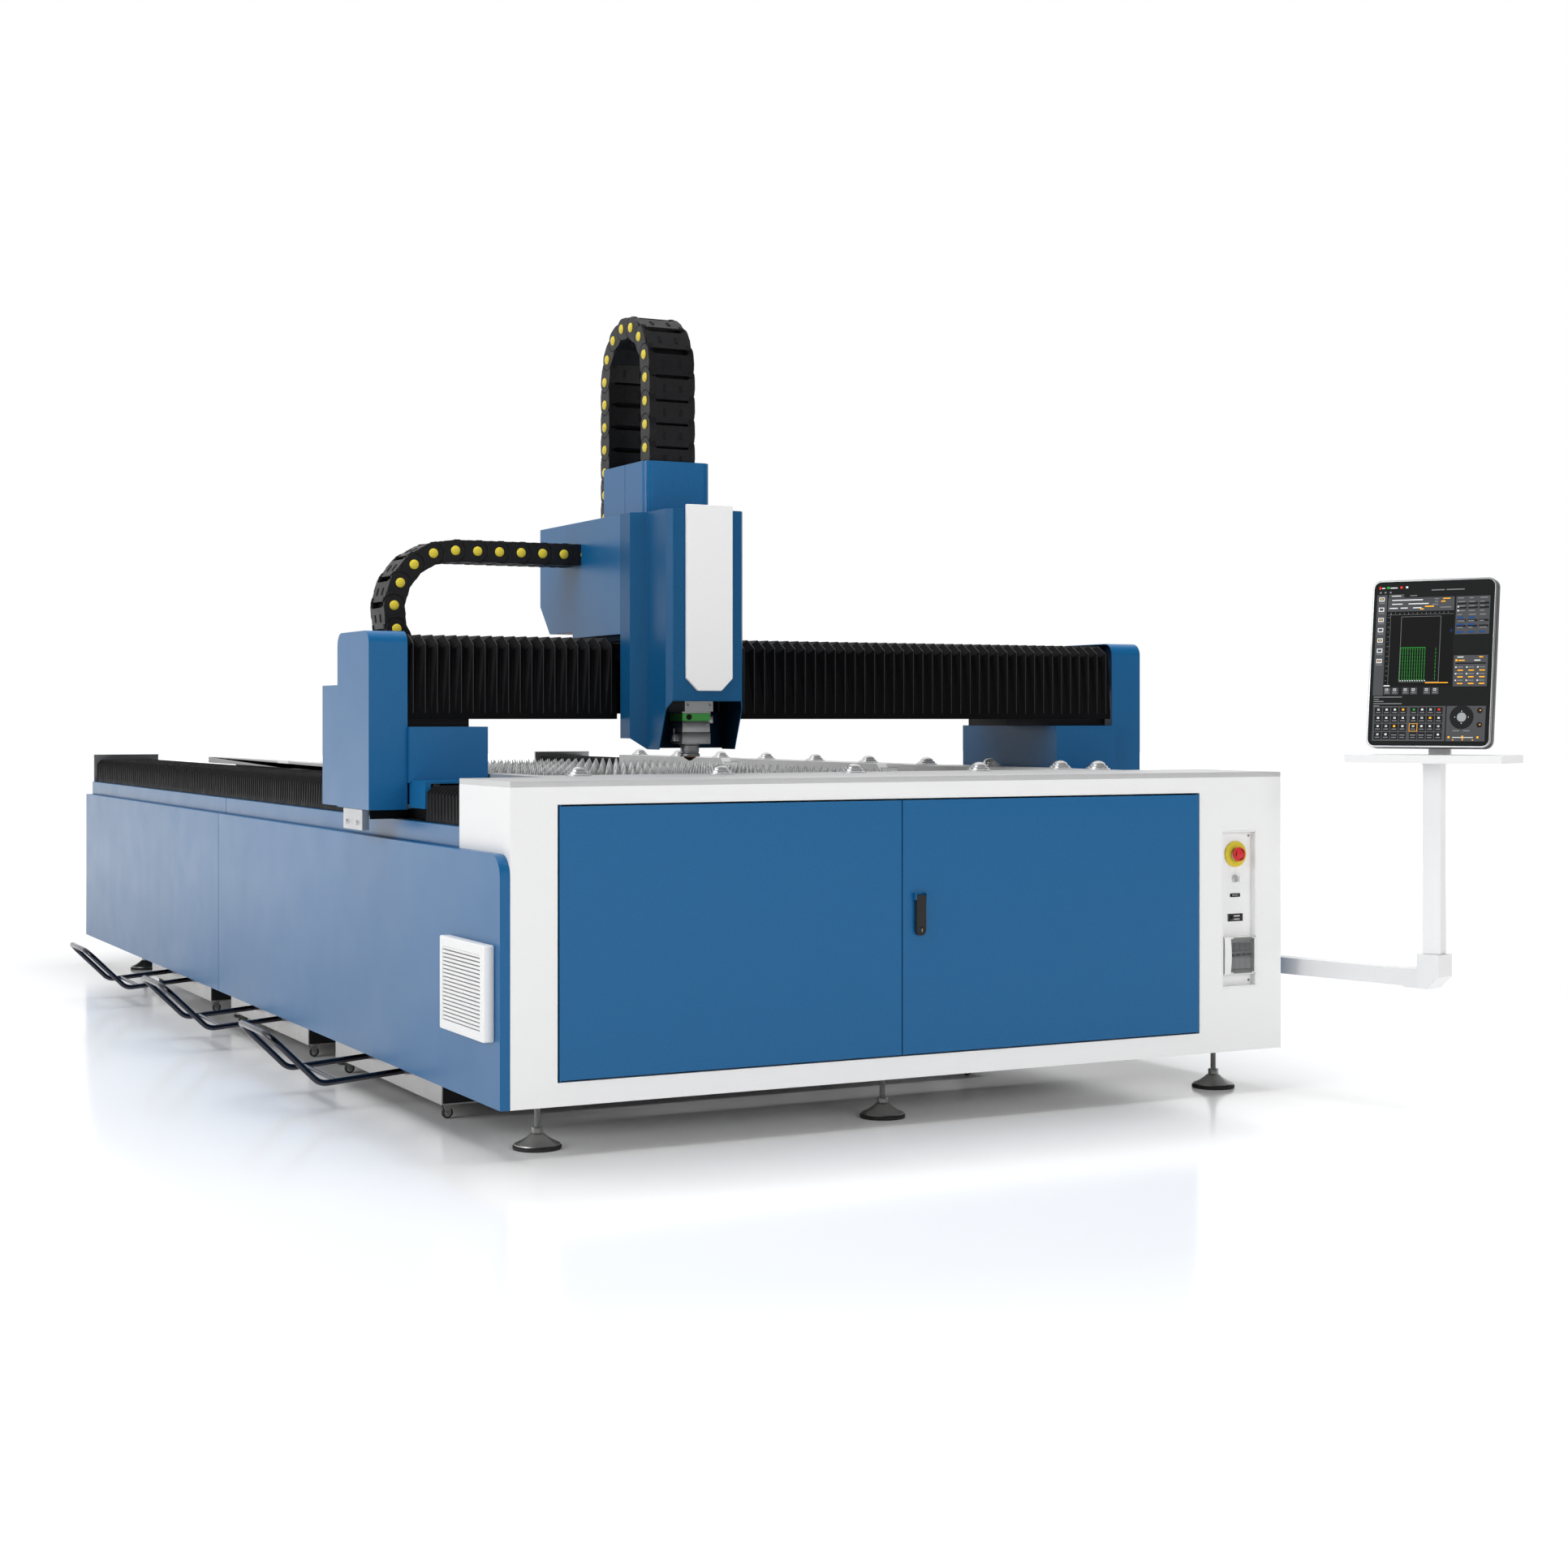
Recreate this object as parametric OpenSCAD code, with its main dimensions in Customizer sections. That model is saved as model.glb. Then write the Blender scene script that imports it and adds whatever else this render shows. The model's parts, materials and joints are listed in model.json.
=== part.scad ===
// Flat-bed sheet-metal laser cutting machine: bed, front cabinet, gantry,
// cutting head, scrap trays and swing-arm console. Millimetres, +Z up.
// Inside the modules x runs from the centreline, y back from the cabinet's
// front face and z up from the floor.

/* [Machine body] */
// Width of the front cabinet and of the bed
body_w = 2300; // [2000:10:2600]
// Length from the cabinet's front face to the rear plates
body_len = 5061; // [4600:10:5600]
// Height of the cabinet's underside above the floor
clear_h = 123; // [118:1:150]
// Depth of the front cabinet
cab_d = 358; // [320:1:420]
// Height of the front cabinet
cab_h = 762; // [740:1:800]
// Sheet thickness of the cabinet walls
cab_wall = 5; // [4:0.5:8]
// Thickness of the table plate on the cabinet
plate_t = 14; // [8:1:20]
// How far the table plate reaches behind the cabinet
plate_back = 172; // [150:1:185]
// Height of the blue side panels
panel_h = 603; // [560:1:640]
// Thickness of the blue side panels
panel_t = 26; // [16:1:40]
// Radius of the side panels' front top corner
panel_r = 55; // [20:1:90]
// Distance of the side seam from the cabinet's front
seam_y = 2725; // [2000:5:3200]
// Distance of the right side panel behind the cabinet's front
right_panel_in = 40; // [32:1:60]
// Height of the cover strip above the side panels
strip_h = 52; // [30:1:70]
// Gap between neighbouring sheets
seam_gap = 3; // [1:0.5:6]

/* [Doors] */
// Left margin from the cabinet's side to the left door
door_left_in = 124; // [90:1:160]
// Right margin from the right door to the cabinet's side
door_right_in = 288; // [240:1:330]
// Width of the left door
door_left_w = 943; // [800:1:1000]
// Height of the doors' lower edge above the cabinet's underside
door_up = 61; // [45:1:80]
// Height of the doors
door_h = 654; // [600:1:670]
// Thickness of the doors
door_t = 20; // [14:1:30]
// How far the doors stand proud of the cabinet
door_proud = 3; // [1:0.5:6]
// Gap round the doors
door_gap = 4.5; // [4.5:0.5:8]
// Radius of the doors' pivot pins
door_pin_r = 2.5; // [2:0.1:2.8]
// Width of the door handle
handle_w = 28; // [20:1:40]
// Length of the door handle
handle_len = 110; // [80:1:150]

/* [Rails and bellows] */
// Width over the bellows on each side of the bed
bellows_w = 250; // [230:1:256]
// Height of the bellows on the bed's rails
bellows_h = 94; // [85:1:100]
// Chamfer on the bellows' upper edges
bellows_cut = 18; // [8:1:30]
// Pitch of the bed bellows' pleats
pleat_pitch = 62; // [40:1:120]
// Depth of the bed bellows' pleats
pleat_d = 7; // [3:0.5:9]
// Wall of the bellows
bellows_wall = 12; // [10.5:0.5:16]
// Width of the linear rails
rail_w = 34; // [20:1:45]
// Height of the linear rails
rail_h = 28; // [15:1:34]

/* [Work bed] */
// Length of the slatted bed behind the front plate
work_len = 3200; // [3000:10:3400]
// Number of support slats
slat_n = 30; // [10:1:44]
// Thickness of one slat
slat_t = 3; // [2:0.5:6]
// Height of a slat
slat_h = 99; // [80:1:110]
// How far the slats' tips stay below the table plate
slat_sink = 13; // [5:1:25]
// Height of a slat's teeth
tooth_h = 40; // [20:1:50]
// Number of teeth on a slat
tooth_n = 32; // [16:1:60]
// Width of the strip that carries the ball units on the right
strip_w = 130; // [100:1:135]
// Number of ball units across the front
ball_front_n = 5; // [2:1:7]
// Number of ball units along the right strip
ball_side_n = 9; // [2:1:10]
// Radius of the balls
ball_r = 22; // [15:1:24]

/* [Feet] */
// Radius of the levelling pads
pad_r = 60; // [45:1:75]
// Radius of the feet's studs
stud_r = 8; // [6:0.5:12]
// Distance of the front feet behind the cabinet's front
foot_in = 145; // [100:1:200]
// Distance of the outer feet from the machine's side
foot_side = 124; // [105:1:150]
// Sideways place of the middle front foot
foot_mid_x = -57; // [-200:1:200]

/* [Gantry] */
// Distance of the end covers' front behind the cabinet's front
gantry_y = 797; // [760:1:1200]
// Width of an end cover
cover_w = 107; // [90:1:130]
// Depth of an end cover
cover_d = 288; // [260:1:288]
// Height of an end cover
cover_h = 477; // [440:1:520]
// Height of an end cover's underside above the floor
cover_z = 805; // [800:1:830]
// Depth of the rear boxes behind the end covers
rear_box_d = 145; // [110:1:180]
// Height of the rear boxes
rear_box_h = 332; // [280:1:360]
// Width of the saddles over the rails
saddle_w = 219; // [200:1:225]
// Length of the saddles
saddle_len = 545; // [480:1:600]
// Height of the saddles' boxes
saddle_h = 143; // [130:1:150]
// Depth of the gantry beam
beam_d = 210; // [180:1:215]
// Height of the gantry beam
beam_h = 196; // [180:1:198]
// Wall of the gantry beam
beam_wall = 10; // [6:1:16]

/* [Carriage] */
// Rest place of the carriage from the centreline
carriage_x = -375; // [-700:5:700]
// Width over the head cover's side flanges
flange_w = 310; // [290:1:330]
// Width of the head cover's body
head_w = 232; // [215:1:250]
// Width of the head cover's front face
head_front_w = 206; // [180:1:212]
// Height of the head cover's top above the floor
head_top = 1616; // [1600:1:1660]
// Height of the head cover's lower edge above the floor
head_low = 963; // [955:1:985]
// Height of the boxes on top of the head
top_box_h = 148; // [110:1:180]
// Width of the boxes on top of the head
top_box_w = 202; // [190:1:220]
// Width of the pale front plate
front_plate_w = 138; // [100:1:150]
// Height of the pale front plate
front_plate_h = 505; // [400:1:505]
// Wall of the covers
cover_wall = 3; // [2:0.5:5]

/* [Cable chains] */
// Thickness of the cable chains
chain_t = 62; // [50:1:64]
// Middle radius of the crosswise chain's bend
x_chain_r = 172; // [150:1:180]
// Width of the crosswise chain
x_chain_w = 127; // [90:1:135]
// Middle radius of the upright chain's bend
z_chain_r = 143.5; // [138:0.5:150]
// Width of the upright chain
z_chain_w = 140; // [100:1:150]
// Height of the upright chain's bend centre above the floor
z_chain_top = 2017; // [1900:1:2100]

/* [Cutting head] */
// Width and depth of the head's body
head_body = 86; // [70:1:90]
// Height of the nozzle's tip above the floor
tip_z = 932; // [930:1:936]
// Radius of the nozzle's bore
nozzle_bore_r = 1; // [0.5:0.1:3]

/* [Scrap trays] */
// Length of a tray along the machine
tray_len = 957; // [800:1:980]
// Width of a tray across the machine
tray_w = 1660; // [1400:10:1700]
// Spacing of the trays
tray_pitch = 1248; // [1240:1:1260]
// Height of a tray's sheet box
tray_h = 72; // [50:1:74]
// Height of a tray's bottom above the floor
tray_z = 42; // [40:1:44]
// Wall of a tray
tray_wall = 4; // [3:0.5:8]
// Radius of the tray casters' wheels
wheel_r = 15; // [12:0.5:16]
// Radius of the tube of a tray handle
grip_r = 9; // [6:0.5:12]
// Distance between a handle's two tubes
grip_w = 316; // [200:1:400]

/* [Console] */
// Length of the swing arm between its two pivots
arm_len = 590; // [500:1:700]
// Size of the arm's square tube
arm_tube = 46; // [36:1:54]
// Size of the post's square tube
post_tube = 50; // [40:1:60]
// Height of the keyboard shelf's top above the floor
shelf_z = 950; // [850:1:1050]
// Width of the keyboard shelf
shelf_w = 425; // [380:1:520]
// Depth of the keyboard shelf
shelf_d = 200; // [160:1:260]
// Width of the monitor
monitor_w = 338; // [300:1:420]
// Height of the monitor
monitor_h = 459; // [400:1:520]
// Thickness of the monitor
monitor_t = 36; // [24:1:50]

/* [Hidden] */
$fn = 48;
eps = 0.01;
run_gap = 0.05;
joint_gap = 0.3;
lift_gap = 0.5;
half_w = body_w / 2;
cab_top = clear_h + cab_h;
table_z = cab_top + plate_t;
panel_top = clear_h + panel_h;
rail_z = panel_top + strip_h;
strip_t = 20;
rear_t = 17;
bed_end = body_len - rear_t;
beam_x = half_w - strip_t;
bellows_x = half_w - 15;
inner_x = bellows_x - bellows_w;
rail_x = bellows_x - bellows_w / 2;
rack_x = rail_x + 75;
post_w = 90;
frame_tube = 80;
tube_t = 6;
beam_t = 10;
side_beam_h = 218;

// Door and panel places on the cabinet's front
door_z = clear_h + door_up;
door_x0 = -half_w + door_left_in;
door_x1 = half_w - door_right_in;
door_seam = door_x0 + door_left_w;
pin_in = 4;
pin_y = 3.5;
pin_len = 8;
jamb_d = 12;
handle_x = door_seam + 50;
handle_z = door_z + 305;
lever_t = 12;

recess_w = 120;
recess_h = 436;
recess_x = half_w - 146;
recess_z = clear_h + 177;
recess_d = 20;
recess_wall = 4;
estop_z = recess_z + 370;
estop_r = 36;
estop_shaft_r = 11;
key_z = recess_z + 301;
key_r = 9;
usb_z = recess_z + 255;
rocker_z = recess_z + 193;
rocker_w = 30;
rocker_h = 14;
rocker_r = rocker_h / 2 - 0.5;
breaker_z = recess_z + 88;
breaker_w = 108;
breaker_h = 106;
toggle_n = 5;
toggle_y = recess_d - 10.5;

// Gantry places
saddle_y = gantry_y - 19;
saddle_z = rail_z + 105;
saddle_top = saddle_z + saddle_h;
gantry_end = half_w - 10;
beam_y = gantry_y + 53;
beam_z = saddle_top + 36;
beam_top = beam_z + beam_h;
skin_y = gantry_y + 8;
skin_top = beam_top + 16;
skin_low = beam_z - 15;
skirt_len = 131;
x_chain_y = beam_y + beam_d + 10;
x_chain_low = beam_z + 115;
x_chain_x = carriage_x - 543;
x_chain_mid = x_chain_low + x_chain_r;
tray_top = x_chain_low - chain_t / 2;

// Carriage places
plate_y = gantry_y - 12;
flange_y = plate_y - 67;
side_y = plate_y - 95;
chamfer_y = plate_y - 219;
front_y = plate_y - 239;
opening_z = head_low + 135;
corner_z = opening_z - 23;
wing_y = chamfer_y + 46;
flange_low = head_low + 30;
rear_low = skin_top + 8;
rear_step = rear_low + 17;
rear_y = plate_y + 608;
z_chain_y = plate_y - 12;
z_chain_x = carriage_x - 15;
z_chain_low = head_top - 52;
head_y = plate_y - 125;
mount_z = tip_z + 135;
body_low = tip_z + 46;
ring_z = tip_z + 11;

// Tray places
tray_y = [for (i = [0:2]) 610 + i * tray_pitch];
post_y = [cab_d + 60, tray_y[1] - 139, tray_y[2] - 140, body_len - 359];
tray_x0 = -half_w + 40;
grip_z = tray_z + 28;
grip_out = 190;
grip_rise = 140;
grip_lean = 140;

// Console places
arm_x = half_w + panel_t + 32;
arm_y = cab_d / 2;
arm_turn = -75.8;
arm_z = clear_h + 198;
elbow_x = arm_x + arm_len * cos(arm_turn);
elbow_y = arm_y + arm_len * sin(arm_turn);
elbow_top = arm_z + 91;
elbow_w = 66;
elbow_cut = 34;
console_turn = -61;
tilt_rest = -8;
tilt_z = shelf_z + 240;
tilt_y = 20;
shelf_t = 22;

blue = [0.16, 0.36, 0.60];
white = [0.93, 0.93, 0.93];
steel = [0.72, 0.73, 0.74];
black = [0.06, 0.06, 0.07];

// The origin lies on the floor under the middle front foot
module placed() {
    translate([-foot_mid_x, -foot_in, 0]) children();
}

// A shape and its mirror image across the centreline
module both_sides() {
    children();
    mirror([1, 0, 0]) children();
}

// A box from its low corner to its high corner
module box(low, high) {
    translate(low) cube(high - low);
}

// A round bar along x, y or z from a point
module bar_x(p, r, l) {
    translate(p) rotate([0, 90, 0]) cylinder(h = l, r = r);
}

module bar_y(p, r, l) {
    translate(p) rotate([-90, 0, 0]) cylinder(h = l, r = r);
}

// A flat outline in y and z, drawn along x
module along_x(x0, l) {
    translate([x0, 0, 0]) rotate([90, 0, 90]) linear_extrude(l) children();
}

// A flat outline in x and z, drawn along y
module along_y(y0, l) {
    translate([0, y0 + l, 0]) rotate([90, 0, 0]) linear_extrude(l) children();
}

module bed_frame() color(black) {
    y0 = cab_d;
    low = [half_w - post_w - strip_t, y0, clear_h];
    high = [inner_x - 5, y0, rail_z - side_beam_h];
    cross_z = rail_z - 178;
    difference() {
        union() {
            both_sides() {
                box(high, [beam_x, bed_end, rail_z]);
                box(low, [half_w, bed_end, clear_h + frame_tube]);
                for (y = post_y)
                    box([low[0], y - post_w / 2, clear_h + frame_tube - eps],
                        [beam_x, y + post_w / 2, high[2] + eps]);
            }
            for (y = post_y, z = [clear_h, cross_z])
                box([-low[0] - eps, y - post_w / 2, z],
                    [low[0] + eps, y + post_w / 2, z + frame_tube]);
        }
        both_sides() {
            box([high[0] + beam_t, y0 - 1, high[2] + beam_t],
                [beam_x - beam_t, bed_end + 1, rail_z - beam_t]);
            box([low[0] + tube_t, y0 - 1, clear_h + tube_t],
                [half_w - tube_t, bed_end + 1, clear_h + frame_tube - tube_t]);
        }
        for (y = post_y, z = [clear_h, cross_z])
            box([-low[0] - 2 * tube_t, y - post_w / 2 + tube_t, z + tube_t],
                [low[0] + 2 * tube_t, y + post_w / 2 - tube_t, z + frame_tube - tube_t]);
    }
}

module door_pin_holes() {
    for (x = [door_x0 + pin_in, door_x1 - pin_in])
        translate([x, pin_y, door_z - pin_len - 1])
            cylinder(h = door_h + 2 * pin_len + 2, r = door_pin_r + run_gap);
}

module front_cabinet() color(white) {
    difference() {
        union() {
            difference() {
                box([-half_w, 0, clear_h], [half_w, cab_d, cab_top]);
                box([-half_w + cab_wall, cab_wall, clear_h + cab_wall],
                    [half_w - cab_wall, cab_d - cab_wall, cab_top - cab_wall]);
            }
            for (z = [door_z - door_gap - jamb_d, door_z + door_h + door_gap])
                box([door_x0 - jamb_d, 0, z], [door_x1 + jamb_d, jamb_d, z + jamb_d]);
        }
        box([door_x0 - door_gap, -1, door_z - door_gap],
            [door_x1 + door_gap, jamb_d + 1, door_z + door_h + door_gap]);
        box([recess_x - recess_w / 2, -1, recess_z],
            [recess_x + recess_w / 2, cab_wall + 1, recess_z + recess_h]);
        door_pin_holes();
    }
}

module console_bracket() color(white) {
    x0 = half_w + panel_t;
    plate = 13;
    gap = 1;
    box([x0, arm_y - 32, arm_z - plate - gap],
        [x0 + 5, arm_y + 32, arm_z + arm_tube + plate + gap]);
    for (z = [arm_z - plate - gap, arm_z + arm_tube + gap]) {
        box([x0 + 5 - eps, arm_y - 24, z], [arm_x, arm_y + 24, z + plate]);
        translate([arm_x, arm_y, z]) cylinder(h = plate, r = 24);
    }
    translate([arm_x, arm_y, arm_z - plate]) cylinder(h = arm_tube + 2 * plate, r = 10);
}

module laser_source() color("dimgray") {
    source_w = 620;
    source_d = 240;
    source_h = 420;
    foot_h = 20;
    x0 = door_x0 + 120;
    y0 = cab_d - cab_wall - source_d - 25;
    z0 = clear_h + cab_wall;
    difference() {
        box([x0, y0, z0 + foot_h], [x0 + source_w, y0 + source_d, z0 + foot_h + source_h]);
        box([x0 + 8, y0 + 8, z0 + foot_h - 1],
            [x0 + source_w - 8, y0 + source_d - 8, z0 + foot_h + source_h - 8]);
    }
    for (x = [x0 + 30, x0 + source_w - 80])
        box([x, y0, z0], [x + 50, y0 + source_d, z0 + foot_h + eps]);
    for (i = [0:7])
        box([x0 + 60, y0 - 4, z0 + 90 + i * 36], [x0 + 300, y0 + eps, z0 + 108 + i * 36]);
    for (x = [x0 + 380, x0 + 560])
        box([x, y0 - 30, z0 + 260], [x + 14, y0 + eps, z0 + 380]);
    for (z = [z0 + 260, z0 + 366])
        box([x0 + 380, y0 - 30, z], [x0 + 574, y0 - 16, z + 14]);
}

strip_x0 = inner_x - 20 - strip_w;
slat_x0 = -inner_x + 35;
slat_x1 = strip_x0 - 5;
slat_low = table_z - slat_sink - slat_h;
slat_y0 = cab_d + plate_back + 45;
work_end = cab_d + plate_back + work_len;
slat_y1 = work_end - 25;
ledge_x = inner_x + 30;
ledge_end = work_end + 230;
notch_y = [work_end - 2242, work_end - 1050];
ledge_notch_y = [work_end - 2062, work_end - 870];

module table_plate() color(steel) {
    inner = inner_x - 15;
    box([-half_w, 0, cab_top], [half_w, cab_d, table_z]);
    box([-inner, cab_d - eps, cab_top], [inner, cab_d + plate_back, table_z]);
    difference() {
        union() {
            box([strip_x0, cab_d + plate_back - eps, cab_top], [inner, work_end, table_z]);
            box([strip_x0, cab_d + plate_back - eps, slat_low], [strip_x0 + 6, work_end, table_z]);
        }
        for (y = notch_y)
            strip_notch(strip_x0 - 1, y);
    }
    difference() {
        union() {
            box([-ledge_x, cab_d + 2, cab_top], [slat_x0 - 5, ledge_end, table_z]);
            box([-ledge_x, cab_d + 2, table_z - 23], [-ledge_x + 6, ledge_end, table_z]);
        }
        for (y = ledge_notch_y)
            strip_notch(-ledge_x - 1, y);
    }
}

// A wide shallow notch in the edge of a side strip, from x on
module strip_notch(x, y) {
    top = 160;
    low = 110;
    depth = 22;
    reach = 38;
    along_x(x, reach)
        polygon([[y - top / 2 - 2, table_z + 1], [y - low / 2, table_z - depth],
            [y + low / 2, table_z - depth], [y + top / 2 + 2, table_z + 1]]);
}

module slat_rack() color(black) {
    rack_z = rail_z - 98;
    y0 = cab_d + 5;
    y1 = work_end - 5;
    for (x = [slat_x0 + 10, (slat_x0 + slat_x1) / 2, slat_x1 - 26])
        box([x, y0, rack_z], [x + 16, y1, slat_low]);
    box([slat_x0 - 16, y0, rack_z], [slat_x0 - 1, y1, cab_top]);
    box([strip_x0 + 7, y0, rack_z], [strip_x0 + 21, y1, cab_top]);
    for (y = [y0, y1 - 12])
        box([slat_x0 - 16, y, rack_z], [strip_x0 + 21, y + 12, slat_low - 0.3]);
}

module slat_outline() {
    pitch = (slat_x1 - slat_x0) / tooth_n;
    root = slat_low + slat_h - tooth_h;
    teeth = [for (i = [0:tooth_n - 1], k = [0, 1])
        k == 0 ? [slat_x0 + i * pitch, root]
               : [slat_x0 + (i + 0.5) * pitch, root + tooth_h]];
    polygon(concat([[slat_x1, slat_low], [slat_x0, slat_low]], teeth, [[slat_x1, root]]));
}

module support_slats() color(steel) {
    step = (slat_y1 - slat_y0) / (slat_n - 1);
    for (i = [0:slat_n - 1])
        along_y(slat_y0 + i * step, slat_t) slat_outline();
}

module ball_unit() {
    flange_r = ball_r + 13;
    cup_r = ball_r + 5;
    cylinder(h = 4, r = flange_r);
    cylinder(h = 12, r = cup_r);
    intersection() {
        translate([0, 0, 4]) sphere(r = ball_r);
        cylinder(h = 2 * ball_r, r = ball_r + 1);
    }
}

module ball_units() color("silver") {
    first_x = -inner_x + 91;
    pitch_x = (inner_x - 45 - first_x) / (ball_front_n - 1);
    pitch_y = (work_end - 125 - (cab_d + plate_back + 14)) / (ball_side_n - 1);
    for (i = [0:ball_front_n - 1])
        translate([first_x + i * pitch_x, cab_d + 87, table_z]) ball_unit();
    for (i = [0:ball_side_n - 1])
        translate([strip_x0 + strip_w / 2 - 25, cab_d + plate_back + 14 + i * pitch_y, table_z])
            ball_unit();
}

module levelling_foot() {
    rim_h = 9;
    dish_h = 26;
    cylinder(h = rim_h, r = pad_r);
    translate([0, 0, rim_h - eps])
        cylinder(h = dish_h, r1 = pad_r - 4, r2 = stud_r + 8);
    translate([0, 0, rim_h + dish_h - 2 * eps]) cylinder(h = 16, r = stud_r + 6, $fn = 6);
    cylinder(h = clear_h, r = stud_r);
}

module levelling_feet() color(steel) {
    foot_x = half_w - foot_side;
    for (x = [-foot_x, foot_mid_x, foot_x])
        translate([x, foot_in, 0]) levelling_foot();
    for (x = [-foot_x + 25, foot_x - 25], k = [1:len(post_y) - 1])
        translate([x, post_y[k], 0]) levelling_foot();
}

// One folded side sheet between two places along the machine
module side_sheet(y0, y1, r) {
    fold = 3;
    difference() {
        along_x(half_w, panel_t)
            difference() {
                translate([y0, clear_h]) square([y1 - y0, panel_h]);
                if (r > 0)
                    difference() {
                        translate([y0 - 1, panel_top - r]) square([r + 1, r + 1]);
                        translate([y0 + r, panel_top - r]) circle(r = r);
                    }
            }
        box([half_w - 1, y0 + fold + r / 3, clear_h + fold],
            [half_w + panel_t - fold, y1 - fold, panel_top - fold - r / 3]);
    }
}

module body_panels() color(blue) {
    both_sides() side_sheet(seam_y + seam_gap / 2, body_len, 0);
    side_sheet(right_panel_in, seam_y - seam_gap / 2, panel_r);
    mirror([1, 0, 0]) side_sheet(0, seam_y - seam_gap / 2, panel_r);
    box([-half_w + joint_gap, bed_end, clear_h], [half_w - joint_gap, body_len, rail_z]);
}

module rail_covers() color(blue)
    both_sides() {
        box([beam_x, cab_d, panel_top], [half_w, seam_y - seam_gap / 2, rail_z]);
        box([beam_x, seam_y + seam_gap / 2, panel_top], [half_w, bed_end, rail_z]);
    }

module linear_rails() color(steel)
    both_sides() {
        box([rail_x - rail_w / 2, cab_d + 12, rail_z],
            [rail_x + rail_w / 2, bed_end - 14, rail_z + rail_h]);
        box([rack_x - 10, cab_d + 12, rail_z], [rack_x + 10, bed_end - 14, rail_z + 22]);
    }

module rail_end_plates() color("silver")
    both_sides() box([inner_x - 12, bed_end, rail_z], [half_w - 4, body_len, rail_z + 116]);

module vent_grille() color(white) {
    grille_y = 36;
    grille_w = 316;
    grille_z = clear_h + 158;
    grille_h = 230;
    proud = 28;
    rim = 26;
    slot_n = 24;
    slot_pitch = (grille_h - 2 * rim) / slot_n;
    x0 = -half_w - panel_t - proud;
    difference() {
        box([x0, grille_y, grille_z],
            [-half_w - panel_t, grille_y + grille_w, grille_z + grille_h]);
        box([x0 - 1, grille_y + rim, grille_z + rim],
            [x0 + 12, grille_y + grille_w - rim, grille_z + grille_h - rim]);
    }
    for (i = [0:slot_n - 1])
        box([x0 + 3, grille_y + rim - eps, grille_z + rim + (i + 0.25) * slot_pitch],
            [x0 + 12 + eps, grille_y + grille_w - rim + eps,
             grille_z + rim + (i + 0.75) * slot_pitch]);
}

// Cross-section of a bed bellows, drawn in by d
module bed_bellows_outline(d) {
    x0 = inner_x + d;
    x1 = bellows_x - d;
    top = rail_z + bellows_h - d;
    wall = bellows_wall;
    polygon([[x0, rail_z], [x0, top - bellows_cut], [x0 + bellows_cut, top],
        [x1 - bellows_cut, top], [x1, top - bellows_cut], [x1, rail_z],
        [bellows_x - wall, rail_z], [bellows_x - wall, rail_z + bellows_h - wall - bellows_cut],
        [bellows_x - wall - bellows_cut, rail_z + bellows_h - wall],
        [inner_x + wall + bellows_cut, rail_z + bellows_h - wall],
        [inner_x + wall, rail_z + bellows_h - wall - bellows_cut], [inner_x + wall, rail_z]]);
}

module bed_bellows_run(y0, y1) {
    n = round((y1 - y0) / pleat_pitch);
    pitch = (y1 - y0) / n;
    along_y(y0, y1 - y0) bed_bellows_outline(pleat_d);
    for (i = [0:n - 1])
        along_y(y0 + (i + 0.3) * pitch, 0.4 * pitch) bed_bellows_outline(0);
}

module y_bellows_right() color(black) {
    bed_bellows_run(cab_d + 1, saddle_y - skirt_len + 16);
    bed_bellows_run(saddle_y + saddle_len + 1, bed_end - 1);
}

module y_bellows_left() mirror([1, 0, 0]) y_bellows_right();

// A ring of wall between two outlines on the control panel
module panel_frame(w, h, z, d, rim) {
    difference() {
        box([recess_x - w / 2, recess_d - d, z - h / 2],
            [recess_x + w / 2, recess_d + eps, z + h / 2]);
        box([recess_x - w / 2 + rim, recess_d - d - 1, z - h / 2 + rim],
            [recess_x + w / 2 - rim, recess_d + 1, z + h / 2 - rim]);
    }
}

module control_panel() color(white) {
    gap = 0.3;
    difference() {
        box([recess_x - recess_w / 2 + gap, 0, recess_z + gap],
            [recess_x + recess_w / 2 - gap, recess_d + recess_wall, recess_z + recess_h - gap]);
        box([recess_x - recess_w / 2 + recess_wall, -1, recess_z + recess_wall],
            [recess_x + recess_w / 2 - recess_wall, recess_d,
             recess_z + recess_h - recess_wall]);
        bar_y([recess_x, 0, estop_z], estop_shaft_r + lift_gap, recess_d + 10);
        bar_y([recess_x, 0, key_z], key_r - 3, recess_d + 10);
        box([recess_x - rocker_w / 2 - lift_gap, 0, rocker_z - rocker_r - run_gap],
            [recess_x + rocker_w / 2 + lift_gap, recess_d + 10, rocker_z + rocker_r + run_gap]);
    }
    panel_frame(rocker_w + 22, rocker_h + 10, rocker_z, 3, 4);
    panel_frame(34, 10, usb_z, 2, 3);
    difference() {
        bar_y([recess_x, recess_d - 6, key_z], key_r, 6);
        bar_y([recess_x, 0, key_z], key_r - 3, recess_d + 10);
    }
}

module estop_base() color("gold")
    difference() {
        bar_y([recess_x, recess_d - 6, estop_z], estop_r, 6);
        bar_y([recess_x, 0, estop_z], estop_shaft_r + lift_gap, recess_d);
    }

module estop_button() color("red") {
    travel = 6;
    bar_y([recess_x, recess_d - 26, estop_z], 20, 26 - 6 - travel - 1);
    bar_y([recess_x, recess_d - 14, estop_z], estop_shaft_r, recess_wall + 22);
}

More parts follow.
